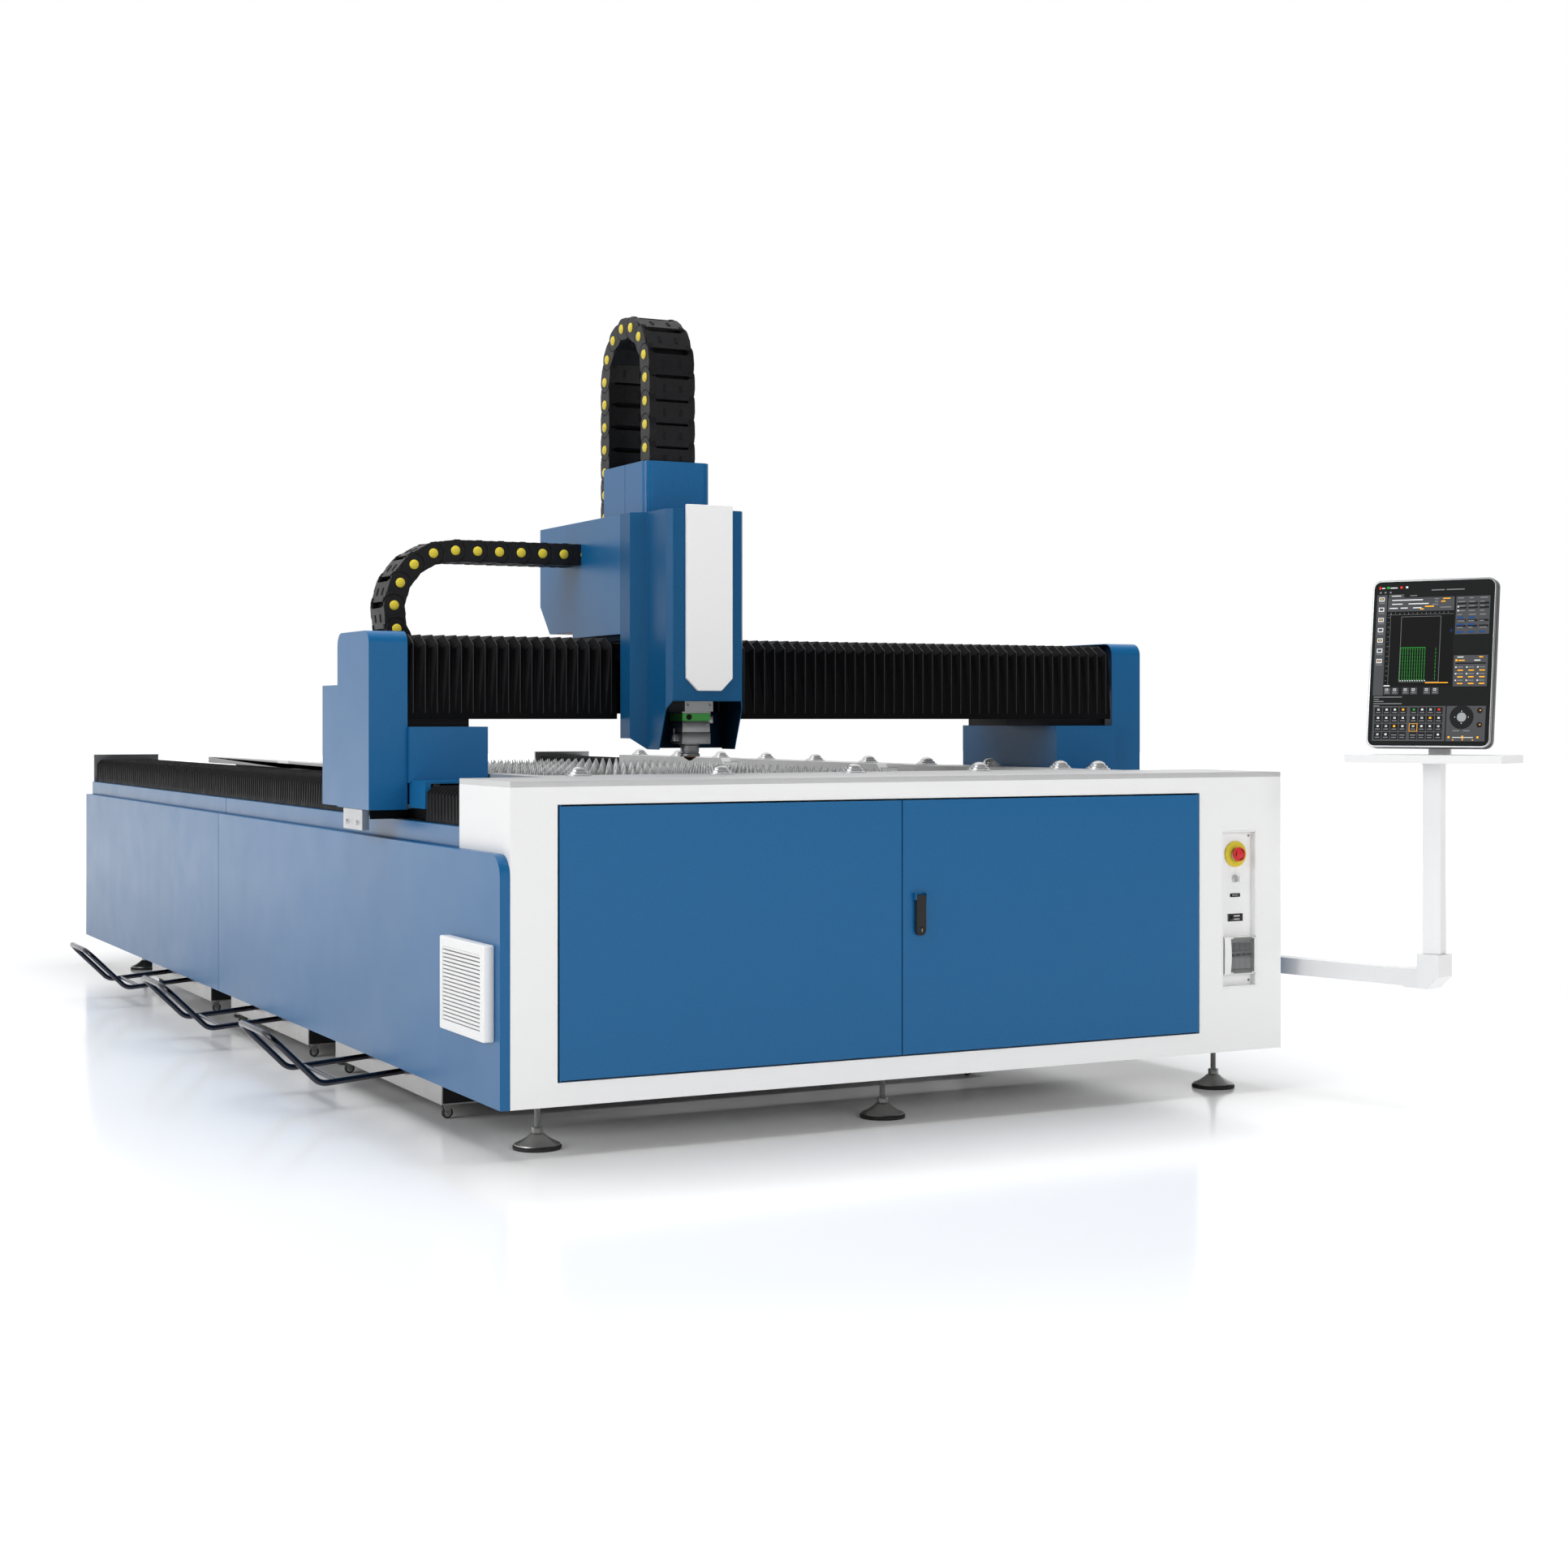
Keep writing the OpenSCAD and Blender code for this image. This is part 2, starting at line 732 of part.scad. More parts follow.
module power_key() color("silver") {
    bar_y([recess_x, recess_d - 8, key_z], key_r - 3 - run_gap, recess_wall + 12);
    box([recess_x - 1.5, recess_d - 20, key_z - 8],
        [recess_x + 1.5, recess_d - 8 + eps, key_z + 8]);
}

module lamp_rocker() color(white) {
    bar_x([recess_x - rocker_w / 2, recess_d, rocker_z], rocker_r, rocker_w);
}

module breaker_box() color(white) {
    x0 = recess_x - breaker_w / 2;
    x1 = recess_x + breaker_w / 2;
    z0 = breaker_z - breaker_h / 2;
    z1 = breaker_z + breaker_h / 2;
    difference() {
        box([x0, 1, z0], [x1, recess_d, z1]);
        box([x0 + 5, 0, z0 + 8], [x1 - 5, recess_d - 6, z1 - 8]);
    }
    for (i = [0:toggle_n - 1])
        box([x0 + 6 + i * (breaker_w - 12) / toggle_n, 9, breaker_z - 38],
            [x0 + 5 + (i + 1) * (breaker_w - 12) / toggle_n, recess_d - 5, breaker_z - 8]);
}

module breaker_toggles() color(black) {
    w = breaker_w - 14;
    pitch = (breaker_w - 12) / toggle_n;
    bar_x([recess_x - w / 2, toggle_y, breaker_z], 4, w);
    for (i = [0:toggle_n - 1])
        box([recess_x - breaker_w / 2 + 6 + (i + 0.3) * pitch, toggle_y - 7, breaker_z],
            [recess_x - breaker_w / 2 + 6 + (i + 0.7) * pitch, toggle_y, breaker_z + 4]);
}

module breaker_cover() color("lightgray", 0.6) {
    wide = breaker_w - 2;
    hinge_z = breaker_z + breaker_h / 2 - 2;
    box([recess_x - wide / 2, -3, breaker_z - breaker_h / 2 + 2],
        [recess_x + wide / 2, 0.5, hinge_z]);
    along_x(recess_x - wide / 2 + 2, wide - 4)
        translate([-1.25, hinge_z]) circle(r = 1.5, $fn = 32);
}

// A pan-shaped door whose pivot pins stand at side x0 or x1
module door(x0, x1, pin_x) {
    fold = 3;
    edge = 14;
    difference() {
        box([x0, -door_proud, door_z], [x1, door_t - door_proud, door_z + door_h]);
        box([x0 + edge, -door_proud + fold, door_z + fold],
            [x1 - edge, door_t, door_z + door_h - fold]);
    }
    translate([pin_x, pin_y, door_z - pin_len])
        cylinder(h = door_h + 2 * pin_len, r = door_pin_r);
}

module door_left() color(blue)
    door(door_x0, door_seam - seam_gap / 2, door_x0 + pin_in);

module door_right() color(blue) {
    ear = 3;
    door(door_seam + seam_gap / 2, door_x1, door_x1 - pin_in);
    for (s = [-1, 1])
        translate([handle_x + s * (handle_w / 2 + ear / 2 + lift_gap), 0, 0])
            box([-ear / 2, -door_proud - 14, handle_z + handle_len - 18],
                [ear / 2, -door_proud + eps, handle_z + handle_len]);
    bar_x([handle_x - handle_w / 2 - 1, -door_proud - 8, handle_z + handle_len - 9], 3,
        handle_w + 2);
}

module door_handle() color(black)
    difference() {
        union() {
            box([handle_x - handle_w / 2, -door_proud - 2 - lever_t, handle_z + handle_w / 2],
                [handle_x + handle_w / 2, -door_proud - 2, handle_z + handle_len - 5]);
            bar_y([handle_x, -door_proud - 2 - lever_t, handle_z + handle_w / 2],
                handle_w / 2, lever_t);
        }
        bar_x([handle_x - handle_w, -door_proud - 8, handle_z + handle_len - 9], 3 + run_gap,
            2 * handle_w);
    }

// Where the pads stop under the gantry's beam on the left and the right
pad_left = 185;
pad_right = 361;

module gantry_beam() color(black) {
    pad_y = skin_y + 30;
    difference() {
        box([-gantry_end, beam_y, beam_z], [gantry_end, beam_y + beam_d, beam_top]);
        box([-gantry_end - 1, beam_y + beam_wall, beam_z + beam_wall],
            [gantry_end + 1, beam_y + beam_d - beam_wall, beam_top - beam_wall]);
    }
    box([-gantry_end, pad_y, saddle_top], [-gantry_end + pad_left, beam_y + beam_d, beam_z]);
    box([gantry_end - pad_right, pad_y, saddle_top], [gantry_end, beam_y + beam_d, beam_z]);
    for (z = [beam_z + 25, beam_top - 45])
        box([-gantry_end + 20, beam_y - 14, z], [gantry_end - 20, beam_y + eps, z + 20]);
    box([-gantry_end + 140, beam_y + beam_d - eps, tray_top - 14],
        [gantry_end - 140, x_chain_y + x_chain_w + 10, tray_top]);
    box([-gantry_end + 140, x_chain_y + x_chain_w + 6, tray_top - 14],
        [gantry_end - 140, x_chain_y + x_chain_w + 10, tray_top + 40]);
}

// Outline in y and z of an end cover, drawn in by d
module end_cover_outline(d, r) {
    hull() {
        translate([gantry_y + d, cover_z + d]) square([cover_d - 2 * d, cover_h / 2]);
        for (y = [gantry_y + r, gantry_y + cover_d - r])
            translate([y, cover_z + cover_h - r]) circle(r = r - d, $fn = 32);
    }
}

module end_cover_right() color(blue) {
    wall = cover_wall;
    box_top = cover_z + 3 + rear_box_h;
    difference() {
        union() {
            along_x(gantry_end, cover_w) end_cover_outline(0, 36);
            box([gantry_end, gantry_y + cover_d - eps, cover_z + 3],
                [gantry_end + cover_w, gantry_y + cover_d + rear_box_d, box_top]);
        }
        along_x(gantry_end - 1, cover_w - wall + 1) end_cover_outline(wall, 36);
        box([gantry_end - 1, gantry_y + cover_d - 2 * wall, cover_z + 3 + wall],
            [gantry_end + cover_w - wall, gantry_y + cover_d + rear_box_d - wall,
             box_top - wall]);
    }
}

module end_cover_left() mirror([1, 0, 0]) end_cover_right();

module rack_brackets() color(white)
    both_sides() {
        drop = 56;
        t = 20;
        x1 = gantry_end + cover_w;
        box([x1 - t, gantry_y + 60, cover_z - drop], [x1, gantry_y + 232, cover_z]);
        for (y = [gantry_y + 100, gantry_y + 192])
            bar_x([x1 - eps, y, cover_z - drop + 20], 7, 5, $fn = 6);
    }

module saddle_right() color(blue) {
    x0 = gantry_end - saddle_w;
    wall = 5;
    floor_t = 10;
    skirt_t = 15;
    difference() {
        box([x0, saddle_y, saddle_z], [gantry_end, saddle_y + saddle_len, saddle_top]);
        box([x0 + wall, saddle_y + wall, saddle_z + floor_t],
            [gantry_end - wall, saddle_y + saddle_len - wall, saddle_top - wall]);
    }
    for (y = [saddle_y + 40, saddle_y + saddle_len - 120])
        difference() {
            box([rail_x - rail_w, y, rail_z + 6], [rail_x + rail_w, y + 80, saddle_z + eps]);
            box([rail_x - rail_w / 2 - lift_gap, y - 1, rail_z],
                [rail_x + rail_w / 2 + lift_gap, y + 81, rail_z + rail_h + lift_gap]);
        }
    box([x0, saddle_y - skirt_len + 19, saddle_z - 6],
        [bellows_x, saddle_y + eps, saddle_z]);
    box([x0, saddle_y - 2 * eps, saddle_z - 6], [gantry_end, saddle_y + 30, saddle_z + eps]);
    box([bellows_x - skirt_t, saddle_y - skirt_len + 19, saddle_z - 72],
        [bellows_x, saddle_y + 19, saddle_z - 6 + eps]);
}

module saddle_left() mirror([1, 0, 0]) saddle_right();

// Cross-section in y and z of the bellows on the gantry beam, drawn in by d
module beam_bellows_outline(d) {
    wall = bellows_wall;
    back = skin_y + 240;
    inner_z = beam_top + 0.3;
    polygon([[skin_y + d, skin_low], [skin_y + d, skin_top - 25], [skin_y + 45, skin_top - d],
        [back, skin_top - d], [back, inner_z], [beam_y - 1, inner_z],
        [skin_y + wall, skin_top - 36], [skin_y + wall, skin_low + wall],
        [skin_y + 27, skin_low + wall], [skin_y + 27, skin_low]]);
}

module beam_bellows_run(x0, x1) {
    n = round((x1 - x0) / pleat_pitch);
    pitch = (x1 - x0) / n;
    along_x(x0, x1 - x0) beam_bellows_outline(pleat_d);
    for (i = [0:n - 1])
        along_x(x0 + (i + 0.3) * pitch, 0.4 * pitch) beam_bellows_outline(0);
}

module x_bellows() color(black) {
    beam_bellows_run(-gantry_end + 1, carriage_x - flange_w / 2 - 1);
    beam_bellows_run(carriage_x + flange_w / 2 + 1, gantry_end - 1);
}

// A chain's side view: a half ring and two straight runs to the right
module chain_outline(r, upper_len, lower_len) {
    difference() {
        circle(r = r + chain_t / 2, $fn = 96);
        circle(r = r - chain_t / 2, $fn = 96);
        translate([0, -2 * r]) square([2 * r, 4 * r]);
    }
    translate([-eps, r - chain_t / 2]) square([upper_len + eps, chain_t]);
    translate([-eps, -r - chain_t / 2]) square([lower_len + eps, chain_t]);
}

module x_cable_chain() color(black)
    along_y(x_chain_y, x_chain_w)
        translate([x_chain_x, x_chain_mid])
            chain_outline(x_chain_r, carriage_x - flange_w / 2 - x_chain_x, 1000);

module z_cable_chain() color(black)
    along_x(z_chain_x - z_chain_w / 2, z_chain_w)
        translate([z_chain_y + z_chain_r, z_chain_top]) rotate(-90)
            chain_outline(z_chain_r, z_chain_top - head_top - 0.3, z_chain_top - z_chain_low);

module carriage_plate() color("dimgray") {
    w = flange_w / 2 - 20;
    rail_t = 14;
    block_d = beam_y - plate_y - 22;
    translate([carriage_x, 0, 0]) {
        box([-w, plate_y, saddle_top - 26], [w, plate_y + 20, z_chain_low - 5]);
        for (x = [-65, 45])
            box([x, plate_y - rail_t, saddle_top - 16], [x + 20, plate_y + eps, head_top - 66]);
        for (x = [-w, w - 80], z = [beam_z + 15, beam_top - 55])
            difference() {
                box([x, plate_y + 20 - eps, z], [x + 80, plate_y + 20 + block_d, z + 40]);
                box([x - 1, beam_y - 14 - lift_gap, z + 10 - lift_gap],
                    [x + 81, beam_y, z + 30 + lift_gap]);
            }
        box([-w, plate_y + 20 - eps, beam_top + 8], [w, plate_y + 500, rear_low]);
    }
}

// Outline of the head cover in plan, drawn in by d
function head_plan(d) = [
    [-flange_w / 2 + d, plate_y], [-flange_w / 2 + d, flange_y + d / 2],
    [-head_w / 2 + d, side_y + d / 2], [-head_w / 2 + d, chamfer_y + d / 2],
    [-head_front_w / 2 + d / 2, front_y + d], [head_front_w / 2 - d / 2, front_y + d],
    [head_w / 2 - d, chamfer_y + d / 2], [head_w / 2 - d, side_y + d / 2],
    [flange_w / 2 - d, flange_y + d / 2], [flange_w / 2 - d, plate_y]];

module head_cover() color(blue)
    translate([carriage_x, 0, 0])
        difference() {
            translate([0, 0, head_low]) linear_extrude(head_top - head_low)
                polygon(head_plan(0));
            translate([0, 0, head_low - 1]) linear_extrude(head_top - head_low + 1 - cover_wall)
                polygon(concat(head_plan(cover_wall), [[flange_w / 2 - cover_wall, plate_y + 1],
                    [-flange_w / 2 + cover_wall, plate_y + 1]]));
            along_x(-flange_w, 2 * flange_w)
                polygon([[front_y - 50, head_low - 50], [front_y - 50, opening_z],
                    [front_y, opening_z], [chamfer_y, corner_z], [wing_y, head_low],
                    [wing_y, head_low - 50]]);
            along_x(-flange_w, 2 * flange_w)
                polygon([[side_y, head_low], [flange_y, flange_low], [plate_y + 1, flange_low],
                    [plate_y + 1, head_low - 50], [side_y, head_low - 50]]);
            box([z_chain_x - carriage_x - z_chain_w / 2 - 2, z_chain_y - chain_t / 2 - 2,
                 head_top - 10],
                [z_chain_x - carriage_x + z_chain_w / 2 + 2, plate_y + 1, head_top + 1]);
        }

// Outline of the rear cover in y and z, drawn in by d
module rear_outline(d) {
    polygon([[plate_y - d, rear_low + d], [plate_y + 351 + d, rear_low + d],
        [plate_y + 351 + d, rear_step + d], [rear_y - 77 - d / 2, rear_step + d],
        [rear_y - d, rear_step + 85 + d / 2], [rear_y - d, head_top - d],
        [plate_y - d, head_top - d]]);
}

module rear_cover() color(blue)
    translate([carriage_x, 0, 0])
        difference() {
            along_x(-flange_w / 2, flange_w) rear_outline(0);
            along_x(-flange_w / 2 + cover_wall, flange_w - 2 * cover_wall)
                rear_outline(cover_wall);
            box([z_chain_x - carriage_x - z_chain_w / 2 - 2, plate_y - 1, head_top - 10],
                [z_chain_x - carriage_x + z_chain_w / 2 + 2, plate_y + 30, head_top + 1]);
            box([-flange_w / 2 + 19, plate_y - 1, rear_low - 1],
                [flange_w / 2 - 19, plate_y + 21, rear_low + cover_wall + 1]);
        }

module top_covers() color(blue) {
    r = 25;
    x0 = -top_box_w / 2 - 2;
    y0 = plate_y - 55;
    y1 = plate_y + 86;
    wall = cover_wall;
    translate([carriage_x, 0, head_top]) {
        difference() {
            hull() {
                for (x = [x0 + r, x0 + top_box_w - r])
                    translate([x, y0 + r, 0]) cylinder(h = top_box_h, r = r, $fn = 32);
                box([x0, y1 - 10, 0], [x0 + top_box_w, y1, top_box_h]);
            }
            box([x0 + wall + 4, y0 + wall + 4, -1],
                [x0 + top_box_w - wall - 4, y1 - wall, top_box_h + 1]);
        }
        difference() {
            box([x0, y1 + 2, 0], [x0 + top_box_w, plate_y + 239, top_box_h]);
            box([x0 + wall, y1 + 2 + wall, -1],
                [x0 + top_box_w - wall, plate_y + 239 - wall, top_box_h - wall]);
        }
    }
}

module front_plate() color(white) {
    cut = 34;
    w = front_plate_w / 2;
    z1 = head_top + 12;
    z0 = z1 - front_plate_h;
    translate([carriage_x + 2, 0, 0]) along_y(front_y - 12, 12)
        polygon([[-w, z1], [-w, z0 + cut], [-w + cut, z0], [w - cut, z0], [w, z0 + cut],
            [w, z1]]);
}

module z_slide() color(steel)
    translate([carriage_x, 0, 0]) {
        back = plate_y - 14 - lift_gap;
        box([-80, back - 20, mount_z], [80, back, head_top - 166]);
        box([-43, head_y - 60, mount_z], [43, back - 20 + eps, mount_z + 30]);
        box([-30, back - 20, head_top - 166 - eps], [30, back, z_chain_low - 1]);
    }

module cutting_head() color("gray")
    translate([carriage_x, head_y, 0]) {
        w = head_body / 2;
        difference() {
            union() {
                box([-w, -w, body_low], [w, w, mount_z]);
                translate([0, 0, ring_z]) cylinder(h = body_low - ring_z + eps, r = 26);
                translate([0, 0, ring_z]) cylinder(h = 10, r = 30);
                box([w - eps, -30, body_low + 57], [w + 15, -8, body_low + 78]);
                box([-w - 16, -20, body_low + 7], [-w + eps, 4, body_low + 27]);
                translate([w + 8, -19, body_low + 78 - eps]) cylinder(h = 12, r = 4);
                translate([-w - 9, -8, body_low + 27 - eps]) cylinder(h = 16, r = 2);
            }
            bar_y([-w / 2, -w - 1, body_low + 74], 8, 5);
            translate([0, 0, ring_z - 1]) cylinder(h = 30, r = 6);
        }
    }

module nozzle() color("peru")
    translate([carriage_x, head_y, tip_z])
        difference() {
            union() {
                cylinder(h = 8, r1 = 4, r2 = 17);
                translate([0, 0, 8 - eps]) cylinder(h = ring_z - tip_z - 8 + eps, r = 17);
            }
            translate([0, 0, -1]) cylinder(h = 14, r = nozzle_bore_r);
        }

caster_in = 30;
axle_z = wheel_r + 0.3;
function caster_y(i) = [tray_y[i] + caster_in + 12, tray_y[i] + tray_len - caster_in - 12];

module scrap_tray(i) color(white) {
    y0 = tray_y[i];
    fork_w = 20;
    difference() {
        box([tray_x0, y0, tray_z], [tray_x0 + tray_w, y0 + tray_len, tray_z + tray_h]);
        box([tray_x0 + tray_wall, y0 + tray_wall, tray_z + tray_wall],
            [tray_x0 + tray_w - tray_wall, y0 + tray_len - tray_wall, tray_z + tray_h + 1]);
    }
    for (x = [tray_x0 + caster_in, tray_x0 + tray_w - caster_in], y = caster_y(i)) {
        translate([x - 8, y, tray_z - 4]) cylinder(h = 4 + eps, r = 15);
        for (s = [-1, 1])
            along_y(y + s * fork_w / 2 - 1.5, 3) {
                translate([x, axle_z]) circle(r = 5);
                polygon([[x - 4.5, axle_z - 1], [x + 4.5, axle_z - 1], [x + 6, tray_z - 3],
                    [x - 12, tray_z - 3]]);
            }
        bar_y([x, y - fork_w / 2, axle_z], 3, fork_w);
    }
}

module tray_wheels(i, x)
    color(black)
        for (y = caster_y(i))
            difference() {
                bar_y([x, y - 7, axle_z], wheel_r, 14);
                bar_y([x, y - 8, axle_z], 3 + run_gap, 16);
            }

// A straight tube between two points in the x-z plane at a given y
module slant(y, p, q) {
    l = norm(q - p);
    turn = atan2(q[0] - p[0], q[1] - p[1]);
    translate([p[0], y, p[1]]) rotate([0, turn, 0]) cylinder(h = l, r = grip_r);
}

module tray_handle(i) color(steel) {
    mid = tray_y[i] + tray_len / 2;
    weld = 0.6;
    low = [-half_w - grip_out, grip_z];
    high = [low[0] - grip_lean, grip_z + grip_rise];
    for (y = [mid - grip_w / 2, mid + grip_w / 2]) {
        bar_x([low[0], y, low[1]], grip_r, tray_x0 - low[0]);
        translate([low[0], y, low[1]]) sphere(r = grip_r + weld);
        slant(y, low, high);
        translate([high[0], y, high[1]]) sphere(r = grip_r + weld);
    }
    bar_y([high[0], mid - grip_w / 2, high[1]], grip_r, grip_w);
    bar_y([-half_w - grip_out + 45, mid - grip_w / 2, grip_z], grip_r - 2, grip_w);
}

module console_arm() color(white) {
    socket_r = 18;
    difference() {
        union() {
            translate([arm_x, arm_y, arm_z]) {
                cylinder(h = arm_tube, r = arm_tube / 2 + 2);
                rotate(arm_turn) box([0, -arm_tube / 2, 0],
                    [arm_len, arm_tube / 2, arm_tube]);
            }
            translate([elbow_x, elbow_y, arm_z - 3]) rotate(arm_turn) {
                rotate([90, 0, 0]) translate([0, 0, -elbow_w / 2])
                    linear_extrude(elbow_w) polygon([[-elbow_w / 2, 0],
                        [elbow_w / 2 - elbow_cut, 0], [elbow_w / 2, elbow_cut],
                        [elbow_w / 2, 94], [-elbow_w / 2, 94]]);
                box([-elbow_w / 2 - 48, -26, 0], [-elbow_w / 2 + 1, 26, 52]);
            }
        }
        translate([arm_x, arm_y, arm_z - 1]) cylinder(h = arm_tube + 2, r = 10 + run_gap);
        translate([elbow_x, elbow_y, elbow_top - 60])
            cylinder(h = 61, r = socket_r + run_gap);
    }
}

// The console's own place: turned towards the operator on the elbow
module at_console() {
    translate([elbow_x, elbow_y, 0]) rotate(console_turn) children();
}

module console_post() color(white)
    at_console() {
        p = post_tube / 2;
        translate([0, 0, elbow_top - 50]) cylinder(h = 52, r = 18);
        box([-p, -p, elbow_top + 0.3], [p, p, shelf_z - shelf_t]);
    }

module keyboard_shelf() color(white)
    at_console() {
        ear_t = 8;
        difference() {
            box([-shelf_w / 2, -shelf_d * 0.55, shelf_z - shelf_t],
                [shelf_w / 2, shelf_d * 0.45, shelf_z]);
            box([-shelf_w / 2 + 3, -shelf_d * 0.55 + 3, shelf_z - shelf_t - 1],
                [-post_tube / 2 - 20, shelf_d * 0.45 - 3, shelf_z - 3]);
            box([post_tube / 2 + 20, -shelf_d * 0.55 + 3, shelf_z - shelf_t - 1],
                [shelf_w / 2 - 3, shelf_d * 0.45 - 3, shelf_z - 3]);
        }
        box([-30, tilt_y + 22, shelf_z - eps], [30, tilt_y + 34, tilt_z + 30]);
        for (x = [-30, 30 - ear_t])
            box([x, tilt_y - 8, tilt_z - 12], [x + ear_t, tilt_y + 22 + eps, tilt_z + 12]);
        bar_x([-30, tilt_y, tilt_z], 5, 60);
    }

module monitor() color(black)
    at_console()
        translate([0, tilt_y, tilt_z]) rotate([tilt_rest, 0, 0]) {
            low = 229;
            front = 16;
            difference() {
                union() {
                    box([-monitor_w / 2, -front - monitor_t, -low],
                        [monitor_w / 2, -front, monitor_h - low]);
                    box([-20, -front - eps, -10], [20, 8, 10]);
                }
                bar_x([-21, 0, 0], 5 + run_gap, 42);
            }
        }

placed() bed_frame();
placed() front_cabinet();
placed() laser_source();
placed() table_plate();
placed() slat_rack();
placed() support_slats();
placed() ball_units();
placed() levelling_feet();
placed() body_panels();
placed() rail_covers();
placed() linear_rails();
placed() rail_end_plates();
placed() vent_grille();
placed() y_bellows_left();
placed() y_bellows_right();
placed() control_panel();
placed() estop_base();
placed() breaker_box();
placed() console_bracket();
placed() door_left();
placed() door_right();
placed() door_handle();
placed() estop_button();
placed() power_key();
placed() lamp_rocker();
placed() breaker_cover();
placed() breaker_toggles();
placed() gantry_beam();
placed() end_cover_left();
placed() end_cover_right();
placed() saddle_left();
placed() saddle_right();
placed() rack_brackets();
placed() x_bellows();
placed() x_cable_chain();
placed() carriage_plate();
placed() head_cover();
placed() rear_cover();
placed() top_covers();
placed() front_plate();
placed() z_cable_chain();
placed() z_slide();
placed() cutting_head();
placed() nozzle();
placed() scrap_tray(0);  // scrap_tray_1
placed() scrap_tray(1);  // scrap_tray_2
placed() scrap_tray(2);  // scrap_tray_3
placed() tray_handle(0);  // tray_handle_1
placed() tray_handle(1);  // tray_handle_2
placed() tray_handle(2);  // tray_handle_3
placed() tray_wheels(0, tray_x0 + caster_in);  // wheels_left_1
placed() tray_wheels(1, tray_x0 + caster_in);  // wheels_left_2
placed() tray_wheels(2, tray_x0 + caster_in);  // wheels_left_3
placed() tray_wheels(0, tray_x0 + tray_w - caster_in);  // wheels_right_1
placed() tray_wheels(1, tray_x0 + tray_w - caster_in);  // wheels_right_2
placed() tray_wheels(2, tray_x0 + tray_w - caster_in);  // wheels_right_3
placed() console_arm();
placed() console_post();
placed() keyboard_shelf();
placed() monitor();
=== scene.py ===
"""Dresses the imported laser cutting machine: painted covers, bellows, slats, cable chains,
cutting head, controls, scrap trays and console, with the stage they stand on."""

import json
import math
from contextlib import contextmanager
from functools import cache

import bmesh
import bpy
from bpy.props import FloatProperty, FloatVectorProperty, IntProperty, PointerProperty
from mathutils import Matrix, Vector


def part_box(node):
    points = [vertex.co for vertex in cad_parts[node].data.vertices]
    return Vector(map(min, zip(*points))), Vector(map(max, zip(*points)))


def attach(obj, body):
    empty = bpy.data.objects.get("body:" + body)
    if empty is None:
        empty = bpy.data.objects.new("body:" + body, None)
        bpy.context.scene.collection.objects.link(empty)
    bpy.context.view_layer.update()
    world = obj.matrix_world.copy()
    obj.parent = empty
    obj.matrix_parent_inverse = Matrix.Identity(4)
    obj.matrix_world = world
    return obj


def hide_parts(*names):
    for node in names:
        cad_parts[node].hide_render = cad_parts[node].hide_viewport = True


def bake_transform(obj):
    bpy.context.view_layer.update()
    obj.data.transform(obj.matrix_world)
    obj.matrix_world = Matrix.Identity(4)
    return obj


bl_info = {
    "name": "Laser Cutting Machine",
    "version": (1, 0, 0),
    "blender": (4, 5, 0),
    "location": "3D View > Sidebar > Laser cutter",
    "description": "Builds the visible pieces of a flat-bed laser cutting machine",
    "category": "Add Mesh",
}

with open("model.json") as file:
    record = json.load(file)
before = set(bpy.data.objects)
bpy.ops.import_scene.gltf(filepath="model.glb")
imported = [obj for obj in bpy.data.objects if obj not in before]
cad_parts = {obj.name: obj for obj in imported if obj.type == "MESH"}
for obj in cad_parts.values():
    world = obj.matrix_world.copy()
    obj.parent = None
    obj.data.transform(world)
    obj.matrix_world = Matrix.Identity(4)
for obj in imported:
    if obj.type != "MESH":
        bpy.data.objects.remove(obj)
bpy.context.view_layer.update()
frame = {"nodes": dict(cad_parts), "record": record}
SLOT_OF = {s["node"]: s["material_slot"] for s in frame["record"]["subparts"]}
BODY_OF = {n: b for b, nodes in frame["record"]["behaviour"]["bodies"].items() for n in nodes}


# Sizes and colours

class LaserCutterSizes(bpy.types.PropertyGroup):
    """Lengths and counts of the repeated pieces"""
    bed_pleat: FloatProperty(name="Bed pleat", description="Pitch of the bed bellows' pleats",
                             default=0.026, unit="LENGTH")
    beam_pleat: FloatProperty(name="Beam pleat", description="Pitch of the beam bellows' pleats",
                              default=0.033, unit="LENGTH")
    pleat_depth: FloatProperty(name="Pleat depth", description="Depth of a pleat",
                               default=0.010, unit="LENGTH")
    beam_depth: FloatProperty(name="Beam pleat depth", description="Depth of a beam pleat",
                              default=0.015, unit="LENGTH")
    slat_count: IntProperty(name="Slats", description="Number of support slats", default=31)
    tooth_pitch: FloatProperty(name="Tooth pitch", description="Pitch of the slats' teeth",
                               default=0.030, unit="LENGTH")
    chain_pitch: FloatProperty(name="Chain pitch", description="Pitch of a chain link",
                               default=0.0655, unit="LENGTH")
    pin_radius: FloatProperty(name="Chain pin", description="Radius of a link's pin head",
                              default=0.0135, unit="LENGTH")
    tube_bend: FloatProperty(name="Tube bend", description="Bend radius of the tray handles",
                             default=0.045, unit="LENGTH")
    lens: FloatProperty(name="Lens", description="Focal length of the camera, in mm",
                        default=53.2)


